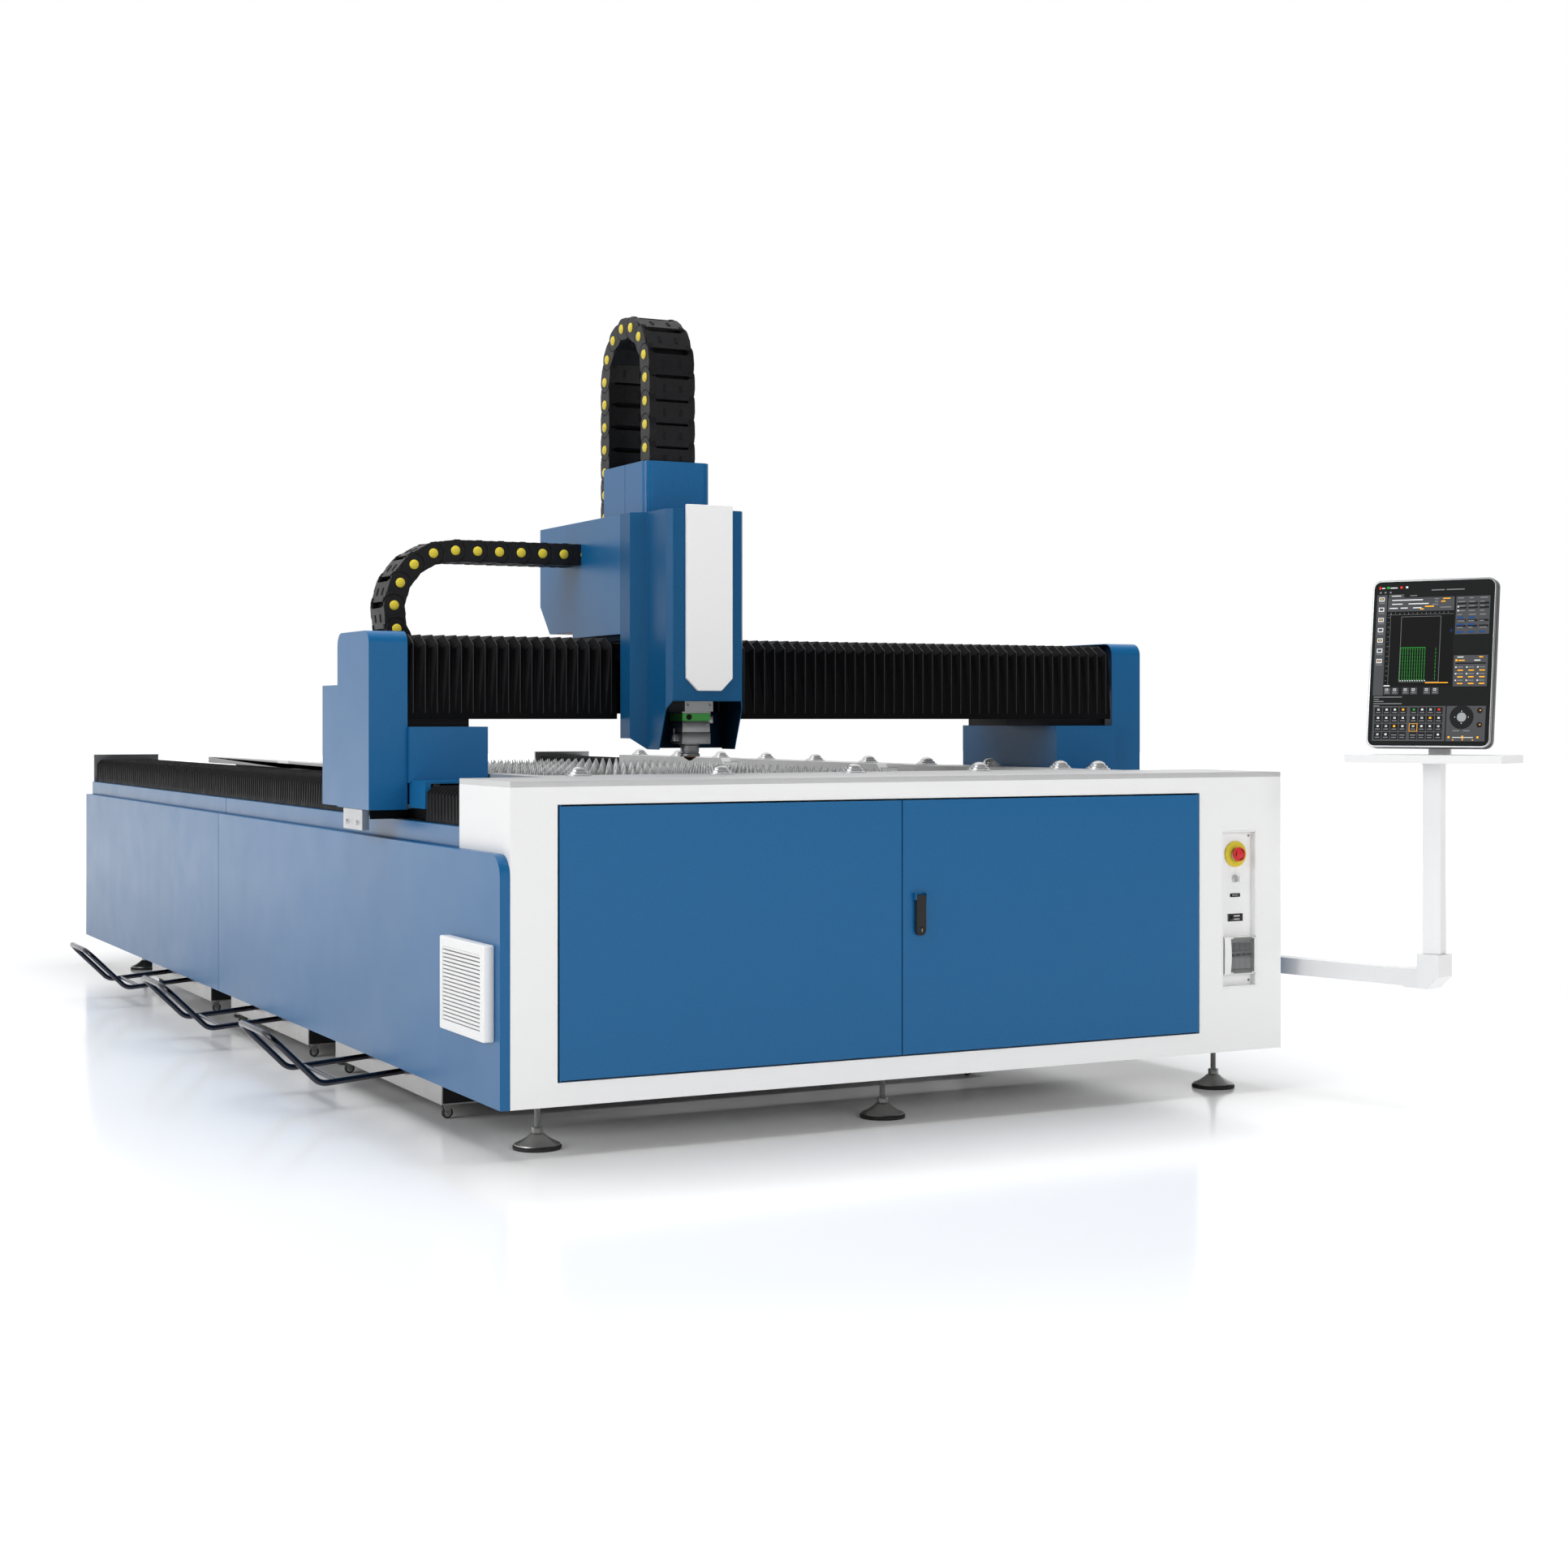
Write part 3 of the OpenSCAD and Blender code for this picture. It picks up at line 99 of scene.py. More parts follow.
class LaserCutterColours(bpy.types.PropertyGroup):
    """Colours that several finishes share"""
    blue: FloatVectorProperty(name="Blue paint", description="Covers and doors",
                              subtype="COLOR", size=3, default=(0.006, 0.104, 0.262))
    white: FloatVectorProperty(name="White paint", description="Cabinet and console",
                               subtype="COLOR", size=3, default=(0.80, 0.80, 0.80))
    black: FloatVectorProperty(name="Black cloth", description="Bellows and chains",
                               subtype="COLOR", size=3, default=(0.0025, 0.0025, 0.003))
    yellow: FloatVectorProperty(name="Yellow", description="Chain pins and stop plate",
                                subtype="COLOR", size=3, default=(0.66, 0.53, 0.045))
    steel: FloatVectorProperty(name="Steel", description="Bare steel",
                               subtype="COLOR", size=3, default=(0.55, 0.555, 0.56))


def sizes():
    """The sizes that a user can change."""
    return bpy.context.scene.cutter_sizes


def colours():
    """The colours that a user can change."""
    return bpy.context.scene.cutter_colours


# Mesh helpers

TINY = 0.0001  # radius at which a turned profile starts, so that it closes on its axis


def only(*objs):
    """Selects these objects and nothing else, the last one active."""
    if bpy.context.mode != "OBJECT":
        bpy.ops.object.mode_set(mode="OBJECT")
    bpy.ops.object.select_all(action="DESELECT")
    for obj in objs:
        obj.select_set(True)
    bpy.context.view_layer.objects.active = objs[-1]


def discard(*objs):
    """Removes objects that were only needed on the way."""
    for obj in objs:
        bpy.data.objects.remove(obj)


def linked(name, data):
    """A new object with this data, linked to the scene's collection."""
    obj = bpy.data.objects.new(name, data)
    bpy.context.collection.objects.link(obj)
    return obj


@contextmanager
def editing(obj):
    """Edit mode on an object with everything selected."""
    only(obj)
    bpy.ops.object.mode_set(mode="EDIT")
    bpy.ops.mesh.select_all(action="SELECT")
    yield
    bpy.ops.object.mode_set(mode="OBJECT")


def on_circle(centre, radius, degrees):
    """The point of a circle at an angle."""
    a = math.radians(degrees)
    return centre[0] + radius * math.cos(a), centre[1] + radius * math.sin(a)


def apply_place(obj):
    """Puts an object's place, turn and scale into its mesh."""
    only(obj)
    bpy.ops.object.transform_apply(location=True, rotation=True, scale=True)
    return obj


def modify(obj, kind, **values):
    """Adds a modifier with these values and applies it."""
    only(obj)
    mod = obj.modifiers.new(kind.title(), kind)
    for key, value in values.items():
        setattr(mod, key, value)
    bpy.ops.object.modifier_apply(modifier=mod.name)
    return obj


def bevel(obj, width, segments=2, angle=30):
    """Rounds the edges that are sharper than an angle."""
    return modify(obj, "BEVEL", width=width, segments=segments, limit_method="ANGLE",
                  angle_limit=math.radians(angle))


def smooth(obj, angle=35):
    """Smooth shading with sharp edges kept from an angle on."""
    only(obj)
    bpy.ops.object.shade_smooth_by_angle(angle=math.radians(angle))
    return obj


def outward(obj):
    """Merges doubles and turns every face outwards."""
    with editing(obj):
        bpy.ops.mesh.remove_doubles(threshold=1e-5)
        bpy.ops.mesh.normals_make_consistent(inside=False)
    return obj


def block(name, low, high, edge=0.0, segments=2):
    """A box between two corners with softened edges."""
    low, high = Vector(low), Vector(high)
    bpy.ops.mesh.primitive_cube_add(size=1, location=(low + high) / 2)
    obj = bpy.context.object
    obj.name = name
    obj.scale = high - low
    apply_place(obj)
    return bevel(obj, edge, segments) if edge else obj


def rod(name, start, end, radius, vertices=24, edge=0.0):
    """A round bar between two points."""
    start, end = Vector(start), Vector(end)
    run = end - start
    bpy.ops.mesh.primitive_cone_add(vertices=vertices, radius1=radius, radius2=radius,
                                    depth=run.length, location=(start + end) / 2)
    obj = bpy.context.object
    obj.name = name
    obj.rotation_euler = run.to_track_quat("Z", "Y").to_euler()
    apply_place(obj)
    if edge:
        bevel(obj, edge, 2)
    return smooth(obj)


def plane_frame(axis):
    """The two in-plane directions and the normal of an outline drawn across an axis."""
    return {"x": (Vector((0, 1, 0)), Vector((0, 0, 1)), Vector((1, 0, 0))),
            "y": (Vector((1, 0, 0)), Vector((0, 0, 1)), Vector((0, 1, 0))),
            "z": (Vector((1, 0, 0)), Vector((0, 1, 0)), Vector((0, 0, 1)))}[axis]


def chain_edges(verts):
    """The edges that join a row of points one after the other."""
    return [(i, i + 1) for i in range(len(verts) - 1)]


def outline_object(name, points, axis, at, closed=True):
    """A flat outline as a face, or as a chain of edges."""
    u, v, w = plane_frame(axis)
    mesh = bpy.data.meshes.new(name)
    verts = [u * p[0] + v * p[1] + w * at for p in points]
    if closed:
        mesh.from_pydata(verts, [], [list(range(len(verts)))])
    else:
        mesh.from_pydata(verts, chain_edges(verts), [])
    return linked(name, mesh)


def prism(name, points, axis, low, high, edge=0.0, segments=2):
    """An outline pushed out from low to high along an axis."""
    obj = outline_object(name, points, axis, low)
    w = plane_frame(axis)[2]
    with editing(obj):
        bpy.ops.mesh.extrude_region_move(TRANSFORM_OT_translate={"value": w * (high - low)})
    outward(obj)
    return bevel(obj, edge, segments) if edge else obj


def turned(name, profile, centre, axis="z", steps=32):
    """A profile of (radius, height) points spun round an axis through centre."""
    centre = Vector(centre)
    side = Vector((1, 0, 0))
    way = {"z": Vector((0, 0, 1)), "y": Vector((0, 1, 0)), "-y": Vector((0, -1, 0))}[axis]
    mesh = bpy.data.meshes.new(name)
    verts = [centre + side * r + way * h for r, h in profile]
    mesh.from_pydata(verts, chain_edges(verts), [])
    obj = linked(name, mesh)
    with editing(obj):
        bpy.ops.mesh.spin(steps=steps, angle=2 * math.pi, center=centre, axis=way)
    return smooth(outward(obj))


def rounded_outline(low, high, radius, steps=5):
    """A rectangle with round corners as a list of points."""
    points = []
    for cx, cy, a0 in ((high[0] - radius, high[1] - radius, 0),
                       (low[0] + radius, high[1] - radius, 90),
                       (low[0] + radius, low[1] + radius, 180),
                       (high[0] - radius, low[1] + radius, 270)):
        points += [on_circle((cx, cy), radius, a0 + 90 * k / steps) for k in range(steps + 1)]
    return points


def bent_path(corners, radius, steps=8):
    """Corner points joined by straight runs and round bends."""
    corners = [Vector(c) for c in corners]
    path = [corners[0]]
    for before, corner, after in zip(corners, corners[1:], corners[2:]):
        a = (before - corner).normalized()
        b = (after - corner).normalized()
        half = a.angle(b) / 2
        cut = radius / math.tan(half)
        centre = corner + (a + b).normalized() * radius / math.sin(half)
        start, end = corner + a * cut, corner + b * cut
        turn = math.pi - 2 * half
        across = (start - centre).normalized()
        along = (end - centre - across * (end - centre).dot(across)).normalized()
        for k in range(steps + 1):
            t = turn * k / steps
            path.append(centre + (across * math.cos(t) + along * math.sin(t)) * radius)
    path.append(corners[-1])
    return path


def tube(name, path, radius, resolution=6):
    """A round tube along a list of points, with closed ends."""
    curve = bpy.data.curves.new(name, "CURVE")
    curve.dimensions = "3D"
    curve.bevel_depth = radius
    curve.bevel_resolution = resolution
    curve.use_fill_caps = True
    spline = curve.splines.new("POLY")
    spline.points.add(len(path) - 1)
    for point, place in zip(spline.points, path):
        point.co = (*place, 1)
    only(linked(name, curve))
    bpy.ops.object.convert(target="MESH")
    return smooth(outward(bpy.context.object), 50)


def moved_copy(obj, matrix):
    """A copy with its own mesh, carried by a matrix."""
    twin = obj.copy()
    twin.data = obj.data.copy()
    twin.data.transform(matrix)
    bpy.context.collection.objects.link(twin)
    return twin


def joined(name, pieces):
    """One object made of several."""
    only(*pieces)
    if len(pieces) > 1:
        bpy.ops.object.join()
    obj = bpy.context.object
    obj.name = name
    return obj


def cut(obj, cutter):
    """Takes the cutter's shape out of the object."""
    modify(obj, "BOOLEAN", object=cutter, operation="DIFFERENCE", solver="EXACT")
    discard(cutter)
    return obj


def dress(obj, material, body, slot, *replaced):
    """Gives a finished piece its material and body, and hides the nodes it stands for.

    A piece with materials of its own comes with material None, one that rides no body with body
    None."""
    if material:
        obj.data.materials.clear()
        obj.data.materials.append(material)
    if body:
        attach(obj, body)
    if replaced:
        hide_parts(*replaced)
    return obj


def soft_copy(node, width):
    """A copy of a CAD node with its edges softened, ready to be dressed."""
    source = frame["nodes"][node]
    twin = source.copy()
    twin.data = source.data.copy()
    twin.parent = None
    twin.matrix_world = Matrix.Identity(4)
    for key in list(twin.keys()):
        if key.startswith("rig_"):
            del twin[key]
    twin.name = node + "_piece"
    bpy.context.collection.objects.link(twin)
    with editing(twin):
        bpy.ops.mesh.remove_doubles(threshold=2e-5)
        bpy.ops.mesh.dissolve_limited(angle_limit=math.radians(1))
        bpy.ops.mesh.customdata_custom_splitnormals_clear()
    if width:
        bevel(twin, width, angle=24)
    smooth(twin, 40)
    return modify(twin, "WEIGHTED_NORMAL", keep_sharp=True)


# Material helpers

def shader(name):
    """A new material with its nodes, links and main shader."""
    mat = bpy.data.materials.new(name)
    mat.use_nodes = True
    nodes, links = mat.node_tree.nodes, mat.node_tree.links
    return mat, nodes, links, nodes["Principled BSDF"]


def object_noise(nodes, links, scale, detail=2.0, stretch=(1, 1, 1)):
    """Noise on object coordinates; scale counts features along a metre."""
    coords = nodes.new("ShaderNodeTexCoord")
    mapping = nodes.new("ShaderNodeMapping")
    mapping.inputs["Scale"].default_value = stretch
    noise = nodes.new("ShaderNodeTexNoise")
    noise.inputs["Scale"].default_value = scale
    noise.inputs["Detail"].default_value = detail
    links.new(coords.outputs["Object"], mapping.inputs["Vector"])
    links.new(mapping.outputs["Vector"], noise.inputs["Vector"])
    return noise


def mapped(nodes, links, value, source, target):
    """Maps a socket's value from one range to another and gives the output socket."""
    span = nodes.new("ShaderNodeMapRange")
    for name, number in zip(("From Min", "From Max", "To Min", "To Max"), (*source, *target)):
        span.inputs[name].default_value = number
    links.new(value, span.inputs["Value"])
    return span.outputs["Result"]


def math_node(nodes, links, operation, first, second):
    """Joins two sockets by an operation and gives the output socket."""
    node = nodes.new("ShaderNodeMath")
    node.operation = operation
    links.new(first, node.inputs[0])
    links.new(second, node.inputs[1])
    return node.outputs[0]


def spread(nodes, links, noise, low, high, start=0.3, end=0.7):
    """Maps a noise's middle range to two values."""
    return mapped(nodes, links, noise.outputs["Fac"], (start, end), (low, high))


def mottle(nodes, links, bsdf, noise, colour_a, colour_b, start=0.3, end=0.7):
    """Blends two colours by a noise into the base colour."""
    mix = nodes.new("ShaderNodeMix")
    mix.data_type = "RGBA"
    mix.inputs["A"].default_value = (*colour_a, 1)
    mix.inputs["B"].default_value = (*colour_b, 1)
    links.new(spread(nodes, links, noise, 0, 1, start, end), mix.inputs["Factor"])
    links.new(mix.outputs["Result"], bsdf.inputs["Base Color"])
    return mix


def relief(nodes, links, bsdf, pattern, strength, distance, output="Fac"):
    """Raises a pattern's output as a bump; the distance is in metres."""
    bump = nodes.new("ShaderNodeBump")
    bump.inputs["Strength"].default_value = strength
    bump.inputs["Distance"].default_value = distance
    links.new(pattern.outputs[output], bump.inputs["Height"])
    links.new(bump.outputs["Normal"], bsdf.inputs["Normal"])


def tone(colour, factor):
    """A colour made darker or lighter by a factor."""
    return tuple(min(1.0, c * factor) for c in colour)


# The finishes: each is made once and shared

def powder_coat(name, colour, roughness=0.42, grain=0.10, gloss=0.5):
    """Textured powder coat: fine speckle, orange-peel relief and an even sheen."""
    mat, nodes, links, bsdf = shader(name)
    speckle = object_noise(nodes, links, 420, 3)
    mottle(nodes, links, bsdf, speckle, tone(colour, 1 - grain), tone(colour, 1 + grain))
    relief(nodes, links, bsdf, object_noise(nodes, links, 260, 2), 0.12, 0.0006)
    worn = object_noise(nodes, links, 7, 3)
    links.new(spread(nodes, links, worn, roughness - 0.02, roughness + 0.02),
              bsdf.inputs["Roughness"])
    bsdf.inputs["Specular IOR Level"].default_value = gloss
    return mat


@cache
def blue_paint():
    """The covers' and doors' coat."""
    return powder_coat("blue powder coat", tuple(colours().blue), 0.30, 0.14, 0.38)


@cache
def shaded_head_paint():
    """The head cover's coat: the covers' blue made a shade deeper as painted shade."""
    return powder_coat("head cover coat with painted shade", tone(tuple(colours().blue), 0.72), 0.36, 0.14, 0.22)


@cache
def white_paint():
    """The cabinet's and console's coat."""
    return powder_coat("white powder coat", tuple(colours().white), 0.45, 0.02)


@cache
def black_paint():
    """The frame's and beam's coat."""
    return powder_coat("black frame paint", (0.010, 0.010, 0.012), 0.5, 0.1, 0.25)


@cache
def shaded_paint():
    """Painted shade: the covers' blue at a tenth, for their unlit inner faces."""
    return powder_coat("inner painted shade coat", tone(tuple(colours().blue), 0.10), 0.6, 0.14, 0.1)


@cache
def tray_steel():
    """The scrap trays' folded sheet."""
    return bare_metal("tray sheet", (0.44, 0.43, 0.42), 0.30, (1, 1, 10), 60, 0.06)


@cache
def source_paint():
    """The case of the laser source behind the doors."""
    return powder_coat("source case paint", (0.07, 0.075, 0.08), 0.5)


def bare_metal(name, colour, roughness, stretch, scale=180, grain=0.12, metallic=1.0):
    """Metal with fine marks drawn out in one direction."""
    mat, nodes, links, bsdf = shader(name)
    bsdf.inputs["Metallic"].default_value = metallic
    marks = object_noise(nodes, links, scale, 4, stretch)
    mottle(nodes, links, bsdf, marks, tone(colour, 1 - grain), tone(colour, 1 + grain))
    cloud = object_noise(nodes, links, 9, 3)
    links.new(spread(nodes, links, cloud, roughness - 0.05, roughness + 0.08),
              bsdf.inputs["Roughness"])
    relief(nodes, links, bsdf, marks, 0.08, 0.0004)
    return mat


@cache
def table_steel():
    """The table plate and the slats' rack."""
    return bare_metal("brushed table steel", (0.62, 0.62, 0.62), 0.5, (1, 30, 30), 60, 0.05,
                      metallic=0.55)


@cache
def rail_steel():
    """The ground linear rails."""
    return bare_metal("ground steel", tuple(colours().steel), 0.3, (30, 1, 30))


@cache
def zinc_steel():
    """Galvanised slats: spangle, a tone of its own for each slat and painted shade darkening the
    roots of the teeth.
    """
    mat, nodes, links, bsdf = shader("galvanised slat steel")
    bsdf.inputs["Metallic"].default_value = 0.3
    coords = nodes.new("ShaderNodeTexCoord")
    cells = nodes.new("ShaderNodeTexVoronoi")
    cells.inputs["Scale"].default_value = 90
    links.new(coords.outputs["Object"], cells.inputs["Vector"])
    bright = mottle(nodes, links, bsdf, object_noise(nodes, links, 6, 1, (0.5, 9, 0.5)),
                    (0.40, 0.405, 0.41), (0.86, 0.865, 0.87), 0.35, 0.65)
    parts = nodes.new("ShaderNodeSeparateXYZ")
    links.new(coords.outputs["Object"], parts.inputs["Vector"])
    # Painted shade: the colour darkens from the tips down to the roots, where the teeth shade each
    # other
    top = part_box("support_slats")[1].z
    shade_low, shade_high = top - 0.046, top - 0.014
    rise = mapped(nodes, links, parts.outputs["Z"], (shade_low, shade_high), (0.0, 1.0))
    root_shade = nodes.new("ShaderNodeMix")
    root_shade.data_type = "RGBA"
    root_shade.inputs["A"].default_value = (0.035, 0.035, 0.035, 1)
    links.new(rise, root_shade.inputs["Factor"])
    links.new(bright.outputs["Result"], root_shade.inputs["B"])
    links.new(root_shade.outputs["Result"], bsdf.inputs["Base Color"])
    bsdf.inputs["Roughness"].default_value = 0.42
    relief(nodes, links, bsdf, cells, 0.1, 0.0004, "Distance")
    return mat


@cache
def chrome():
    """Balls, key and other polished pieces."""
    return bare_metal("polished chrome", (0.66, 0.66, 0.67), 0.24, (1, 1, 30), 60, 0.10,
                      metallic=0.7)


@cache
def satin_aluminium():
    """The cutting head and turned fittings."""
    return bare_metal("satin aluminium", (0.50, 0.51, 0.52), 0.38, (1, 1, 12), 220, 0.05)


@cache
def plate_aluminium():
    """The rails' end plates."""
    return bare_metal("sheet aluminium", (0.66, 0.67, 0.68), 0.4, (14, 1, 1), 120, 0.05)


@cache
def copper():
    """The nozzle's ring."""
    return bare_metal("machined copper", (0.55, 0.24, 0.11), 0.25, (1, 1, 20), 500, 0.08)


@cache
def foot_steel():
    """Feet, caster forks and screws."""
    return bare_metal("plated foot steel", (0.34, 0.34, 0.33), 0.34, (1, 1, 14), 300, 0.10)


@cache
def handle_steel():
    """The tray handles' tube."""
    return bare_metal("blackened tube", (0.055, 0.055, 0.065), 0.18, (1, 12, 12), 240, 0.10)


def plastic(name, colour, roughness, grain=0.06, relief_height=0.0003, scale=500, gloss=0.3):
    """Moulded plastic with a fine spark texture."""
    mat, nodes, links, bsdf = shader(name)
    bsdf.inputs["Specular IOR Level"].default_value = gloss
    fine = object_noise(nodes, links, scale, 3)
    mottle(nodes, links, bsdf, fine, tone(colour, 1 - grain), tone(colour, 1 + grain))
    relief(nodes, links, bsdf, fine, 0.12, relief_height)
    cloud = object_noise(nodes, links, 24, 2)
    links.new(spread(nodes, links, cloud, roughness - 0.04, roughness + 0.04),
              bsdf.inputs["Roughness"])
    return mat


@cache
def bellows_cloth():
    """Coated black cloth: a fine weave with dull sheen."""
    mat, nodes, links, bsdf = shader("coated bellows cloth")
    weave = object_noise(nodes, links, 900, 2)
    black = tuple(colours().black)
    mottle(nodes, links, bsdf, weave, tone(black, 0.7), tone(black, 1.5))
    relief(nodes, links, bsdf, weave, 0.25, 0.0004)
    cloud = object_noise(nodes, links, 14, 3)
    links.new(spread(nodes, links, cloud, 0.5, 0.64), bsdf.inputs["Roughness"])
    bsdf.inputs["Specular IOR Level"].default_value = 0.12
    return mat


@cache
def bellows_ridge_highlight():
    """Lighter cloth on the pleats' ridges: a painted highlight where the edges catch the light."""
    return plastic("bellows ridge highlight", (0.028, 0.028, 0.030), 0.5, 0.2, 0.0003, 700)


@cache
def chain_plastic():
    """The cable chains' links."""
    return plastic("chain plastic", (0.009, 0.009, 0.010), 0.46, 0.3, 0.0006, 160)


@cache
def yellow_plastic():
    """Chain pins and the stop button's plate."""
    return plastic("yellow plastic", tuple(colours().yellow), 0.3, 0.03)


@cache
def red_plastic():
    """The stop button's cap."""
    return plastic("red plastic", (0.56, 0.028, 0.03), 0.28, 0.04)


@cache
def white_plastic():
    """Breaker box, its rim and the rocker's cap."""
    return plastic("white plastic", (0.76, 0.76, 0.75), 0.35, 0.02)


@cache
def grey_plastic():
    """Breakers, hubs and the grille's back."""
    return plastic("grey plastic", (0.30, 0.305, 0.31), 0.4, 0.05)


@cache
def black_plastic():
    """Door lever, monitor and toggles."""
    return plastic("black plastic", (0.018, 0.018, 0.018), 0.38, 0.08)


@cache
def green_band():
    """The band round the cutting head."""
    return plastic("green band", (0.045, 0.26, 0.05), 0.4, 0.04)


@cache
def rubber():
    """Foot pads and tyres."""
    return plastic("black rubber", (0.02, 0.02, 0.021), 0.65, 0.15, 0.0006, 220)


@cache
def dark_inside():
    """Painted shade in holes, vents and slots, and dark marks and parts."""
    return plastic("dark inside", (0.006, 0.006, 0.007), 0.8, 0.1)


@cache
def clear_cover():
    """Smoked clear lid over the breakers."""
    mat, nodes, links, bsdf = shader("smoked clear lid")
    fine = object_noise(nodes, links, 200, 2)
    mottle(nodes, links, bsdf, fine, (0.10, 0.105, 0.11), (0.12, 0.125, 0.13))
    bsdf.inputs["Alpha"].default_value = 0.35
    bsdf.inputs["Specular IOR Level"].default_value = 0.2
    bsdf.inputs["Roughness"].default_value = 0.12
    return mat


SCREEN = {  # kind: colour and glow
    "dark": ((0.010, 0.011, 0.011), 0.1), "panel": ((0.060, 0.062, 0.066), 0.3),
    "window": ((0.006, 0.006, 0.006), 0.1), "key": ((0.013, 0.013, 0.014), 0.2),
    "line": ((0.50, 0.51, 0.52), 0.6), "soft": ((0.16, 0.165, 0.17), 0.4),
    "green": ((0.02, 0.24, 0.03), 0.7), "orange": ((0.75, 0.34, 0.02), 0.7),
    "red": ((0.75, 0.03, 0.02), 0.6), "blue": ((0.010, 0.05, 0.17), 0.5),
    "hole": ((0.060, 0.062, 0.066), 0.3), "knob": ((0.30, 0.31, 0.32), 0.2),
}


@cache
def screen_paint(kind):
    """A printed or lit patch of the screen, with a faint pixel grain."""
    colour, glow = SCREEN[kind]
    mat, nodes, links, bsdf = shader("screen " + kind)
    grain = object_noise(nodes, links, 1500, 1)
    mottle(nodes, links, bsdf, grain, tone(colour, 0.92), tone(colour, 1.08))
    bsdf.inputs["Roughness"].default_value = 0.35
    bsdf.inputs["Specular IOR Level"].default_value = 0.04
    bsdf.inputs["Emission Color"].default_value = (*colour, 1)
    bsdf.inputs["Emission Strength"].default_value = glow
    return mat


# Stage

OBJECT_LIGHT = 0.27  # the surround's strength as light on surfaces
DARK_BEHIND = 0.03  # its strength in reflections that look back past the camera
LAMPS = (  # name, place, aim, size and watts
    ("sky_lamp", (0, 2, 9), (0, 2, 0), 9, 1000),
    ("left_lamp", (-9, -1, 4.2), (-1, 2, 0.6), 5, 390),
    ("front_lamp", (2, -10, 3.2), (0.5, 0.5, 0.8), 5, 420),
)
CAMERA_PLACE = (-3.031, -5.292, 1.0464)
CAMERA_TURN = -27.37  # degrees about the vertical
CAMERA_SHIFT = -0.0414
SENSOR_WIDTH = 36
FLOOR_SIZE, FLOOR_CENTRE = 80, (0, 20, 0)
FAR_CENTRE = (0, -17.6, 0)  # under the machine, in the floor's own coordinates


def build_stage():
    """Pale floor, white surround, soft lamps and the camera."""
    bpy.context.scene.view_settings.view_transform = "Standard"
    build_world()
    bpy.ops.mesh.primitive_plane_add(size=FLOOR_SIZE, location=FLOOR_CENTRE)
    floor = bpy.context.object
    floor.name = "floor"
    floor.data.materials.append(floor_material())
    build_lamps()
    build_camera()


def build_world():
    """Even light for the surfaces and a white surround for camera and reflections, which is
    dark behind the camera so that gloss doesn't wash out the covers."""
    world = bpy.data.worlds.new("studio")
    bpy.context.scene.world = world
    world.use_nodes = True
    nodes, links = world.node_tree.nodes, world.node_tree.links
    nodes.clear()
    out = nodes.new("ShaderNodeOutputWorld")
    light, backdrop = nodes.new("ShaderNodeBackground"), nodes.new("ShaderNodeBackground")
    light.inputs["Color"].default_value = (1, 1, 1, 1)
    light.inputs["Strength"].default_value = OBJECT_LIGHT
    backdrop.inputs["Color"].default_value = (1, 1, 1, 1)
    rays = nodes.new("ShaderNodeLightPath")
    way, parts = nodes.new("ShaderNodeTexCoord"), nodes.new("ShaderNodeSeparateXYZ")
    links.new(way.outputs["Generated"], parts.inputs["Vector"])
    reflected = mapped(nodes, links, parts.outputs["Y"], (-0.25, 0.25), (DARK_BEHIND, 1.0))
    links.new(math_node(nodes, links, "MAXIMUM", reflected, rays.outputs["Is Camera Ray"]),
              backdrop.inputs["Strength"])
    mix = nodes.new("ShaderNodeMixShader")
    links.new(seen_rays(nodes, links, rays), mix.inputs["Fac"])
    links.new(light.outputs[0], mix.inputs[1])
    links.new(backdrop.outputs[0], mix.inputs[2])
    links.new(mix.outputs[0], out.inputs["Surface"])


def build_lamps():
    """Soft area lamps, of which only the left one shows as a reflection."""
    for name, place, aim, size, watts in LAMPS:
        lamp = bpy.data.lights.new(name, "AREA")
        lamp.energy = watts
        lamp.size = size
        obj = linked(name, lamp)
        obj.location = place
        way = Vector(aim) - Vector(place)
        obj.rotation_euler = way.to_track_quat("-Z", "Y").to_euler()
        obj.visible_glossy = name == "left_lamp"


def build_camera():
    """The camera fitted to the photograph."""
    camera = bpy.data.cameras.new("camera")
    camera.lens = sizes().lens
    camera.sensor_width = SENSOR_WIDTH
    camera.shift_y = CAMERA_SHIFT
    eye = linked("camera", camera)
    eye.location = CAMERA_PLACE
    eye.rotation_euler = (math.radians(90), 0, math.radians(CAMERA_TURN))
    bpy.context.scene.camera = eye


def seen_rays(nodes, links, rays):
    """One where the camera, a reflection or a clear piece looks at the surface."""
    total = rays.outputs["Is Camera Ray"]
    for name in ("Is Glossy Ray", "Is Transmission Ray"):
        total = math_node(nodes, links, "MAXIMUM", total, rays.outputs[name])
    return total


def floor_material():
    """White floor with a little gloss; it keeps the shadows and turns pure white far out."""
    mat, nodes, links, bsdf = shader("studio floor")
    bsdf.inputs["Base Color"].default_value = (0.93, 0.93, 0.93, 1)
    bsdf.inputs["Roughness"].default_value = 0.14
    bsdf.inputs["Specular IOR Level"].default_value = 0.4
    rays = nodes.new("ShaderNodeLightPath")
    coords, reach = nodes.new("ShaderNodeTexCoord"), nodes.new("ShaderNodeVectorMath")
    reach.operation = "DISTANCE"
    reach.inputs[1].default_value = FAR_CENTRE
    links.new(coords.outputs["Object"], reach.inputs[0])
    near_radius, far_radius, far_glow = 4.0, 9.0, 0.7
    far = mapped(nodes, links, reach.outputs["Value"], (near_radius, far_radius),
                 (0.0, far_glow))
    bsdf.inputs["Emission Color"].default_value = (1, 1, 1, 1)
    links.new(math_node(nodes, links, "MULTIPLY", seen_rays(nodes, links, rays), far),
              bsdf.inputs["Emission Strength"])
    return mat


# Painted covers and plain nodes

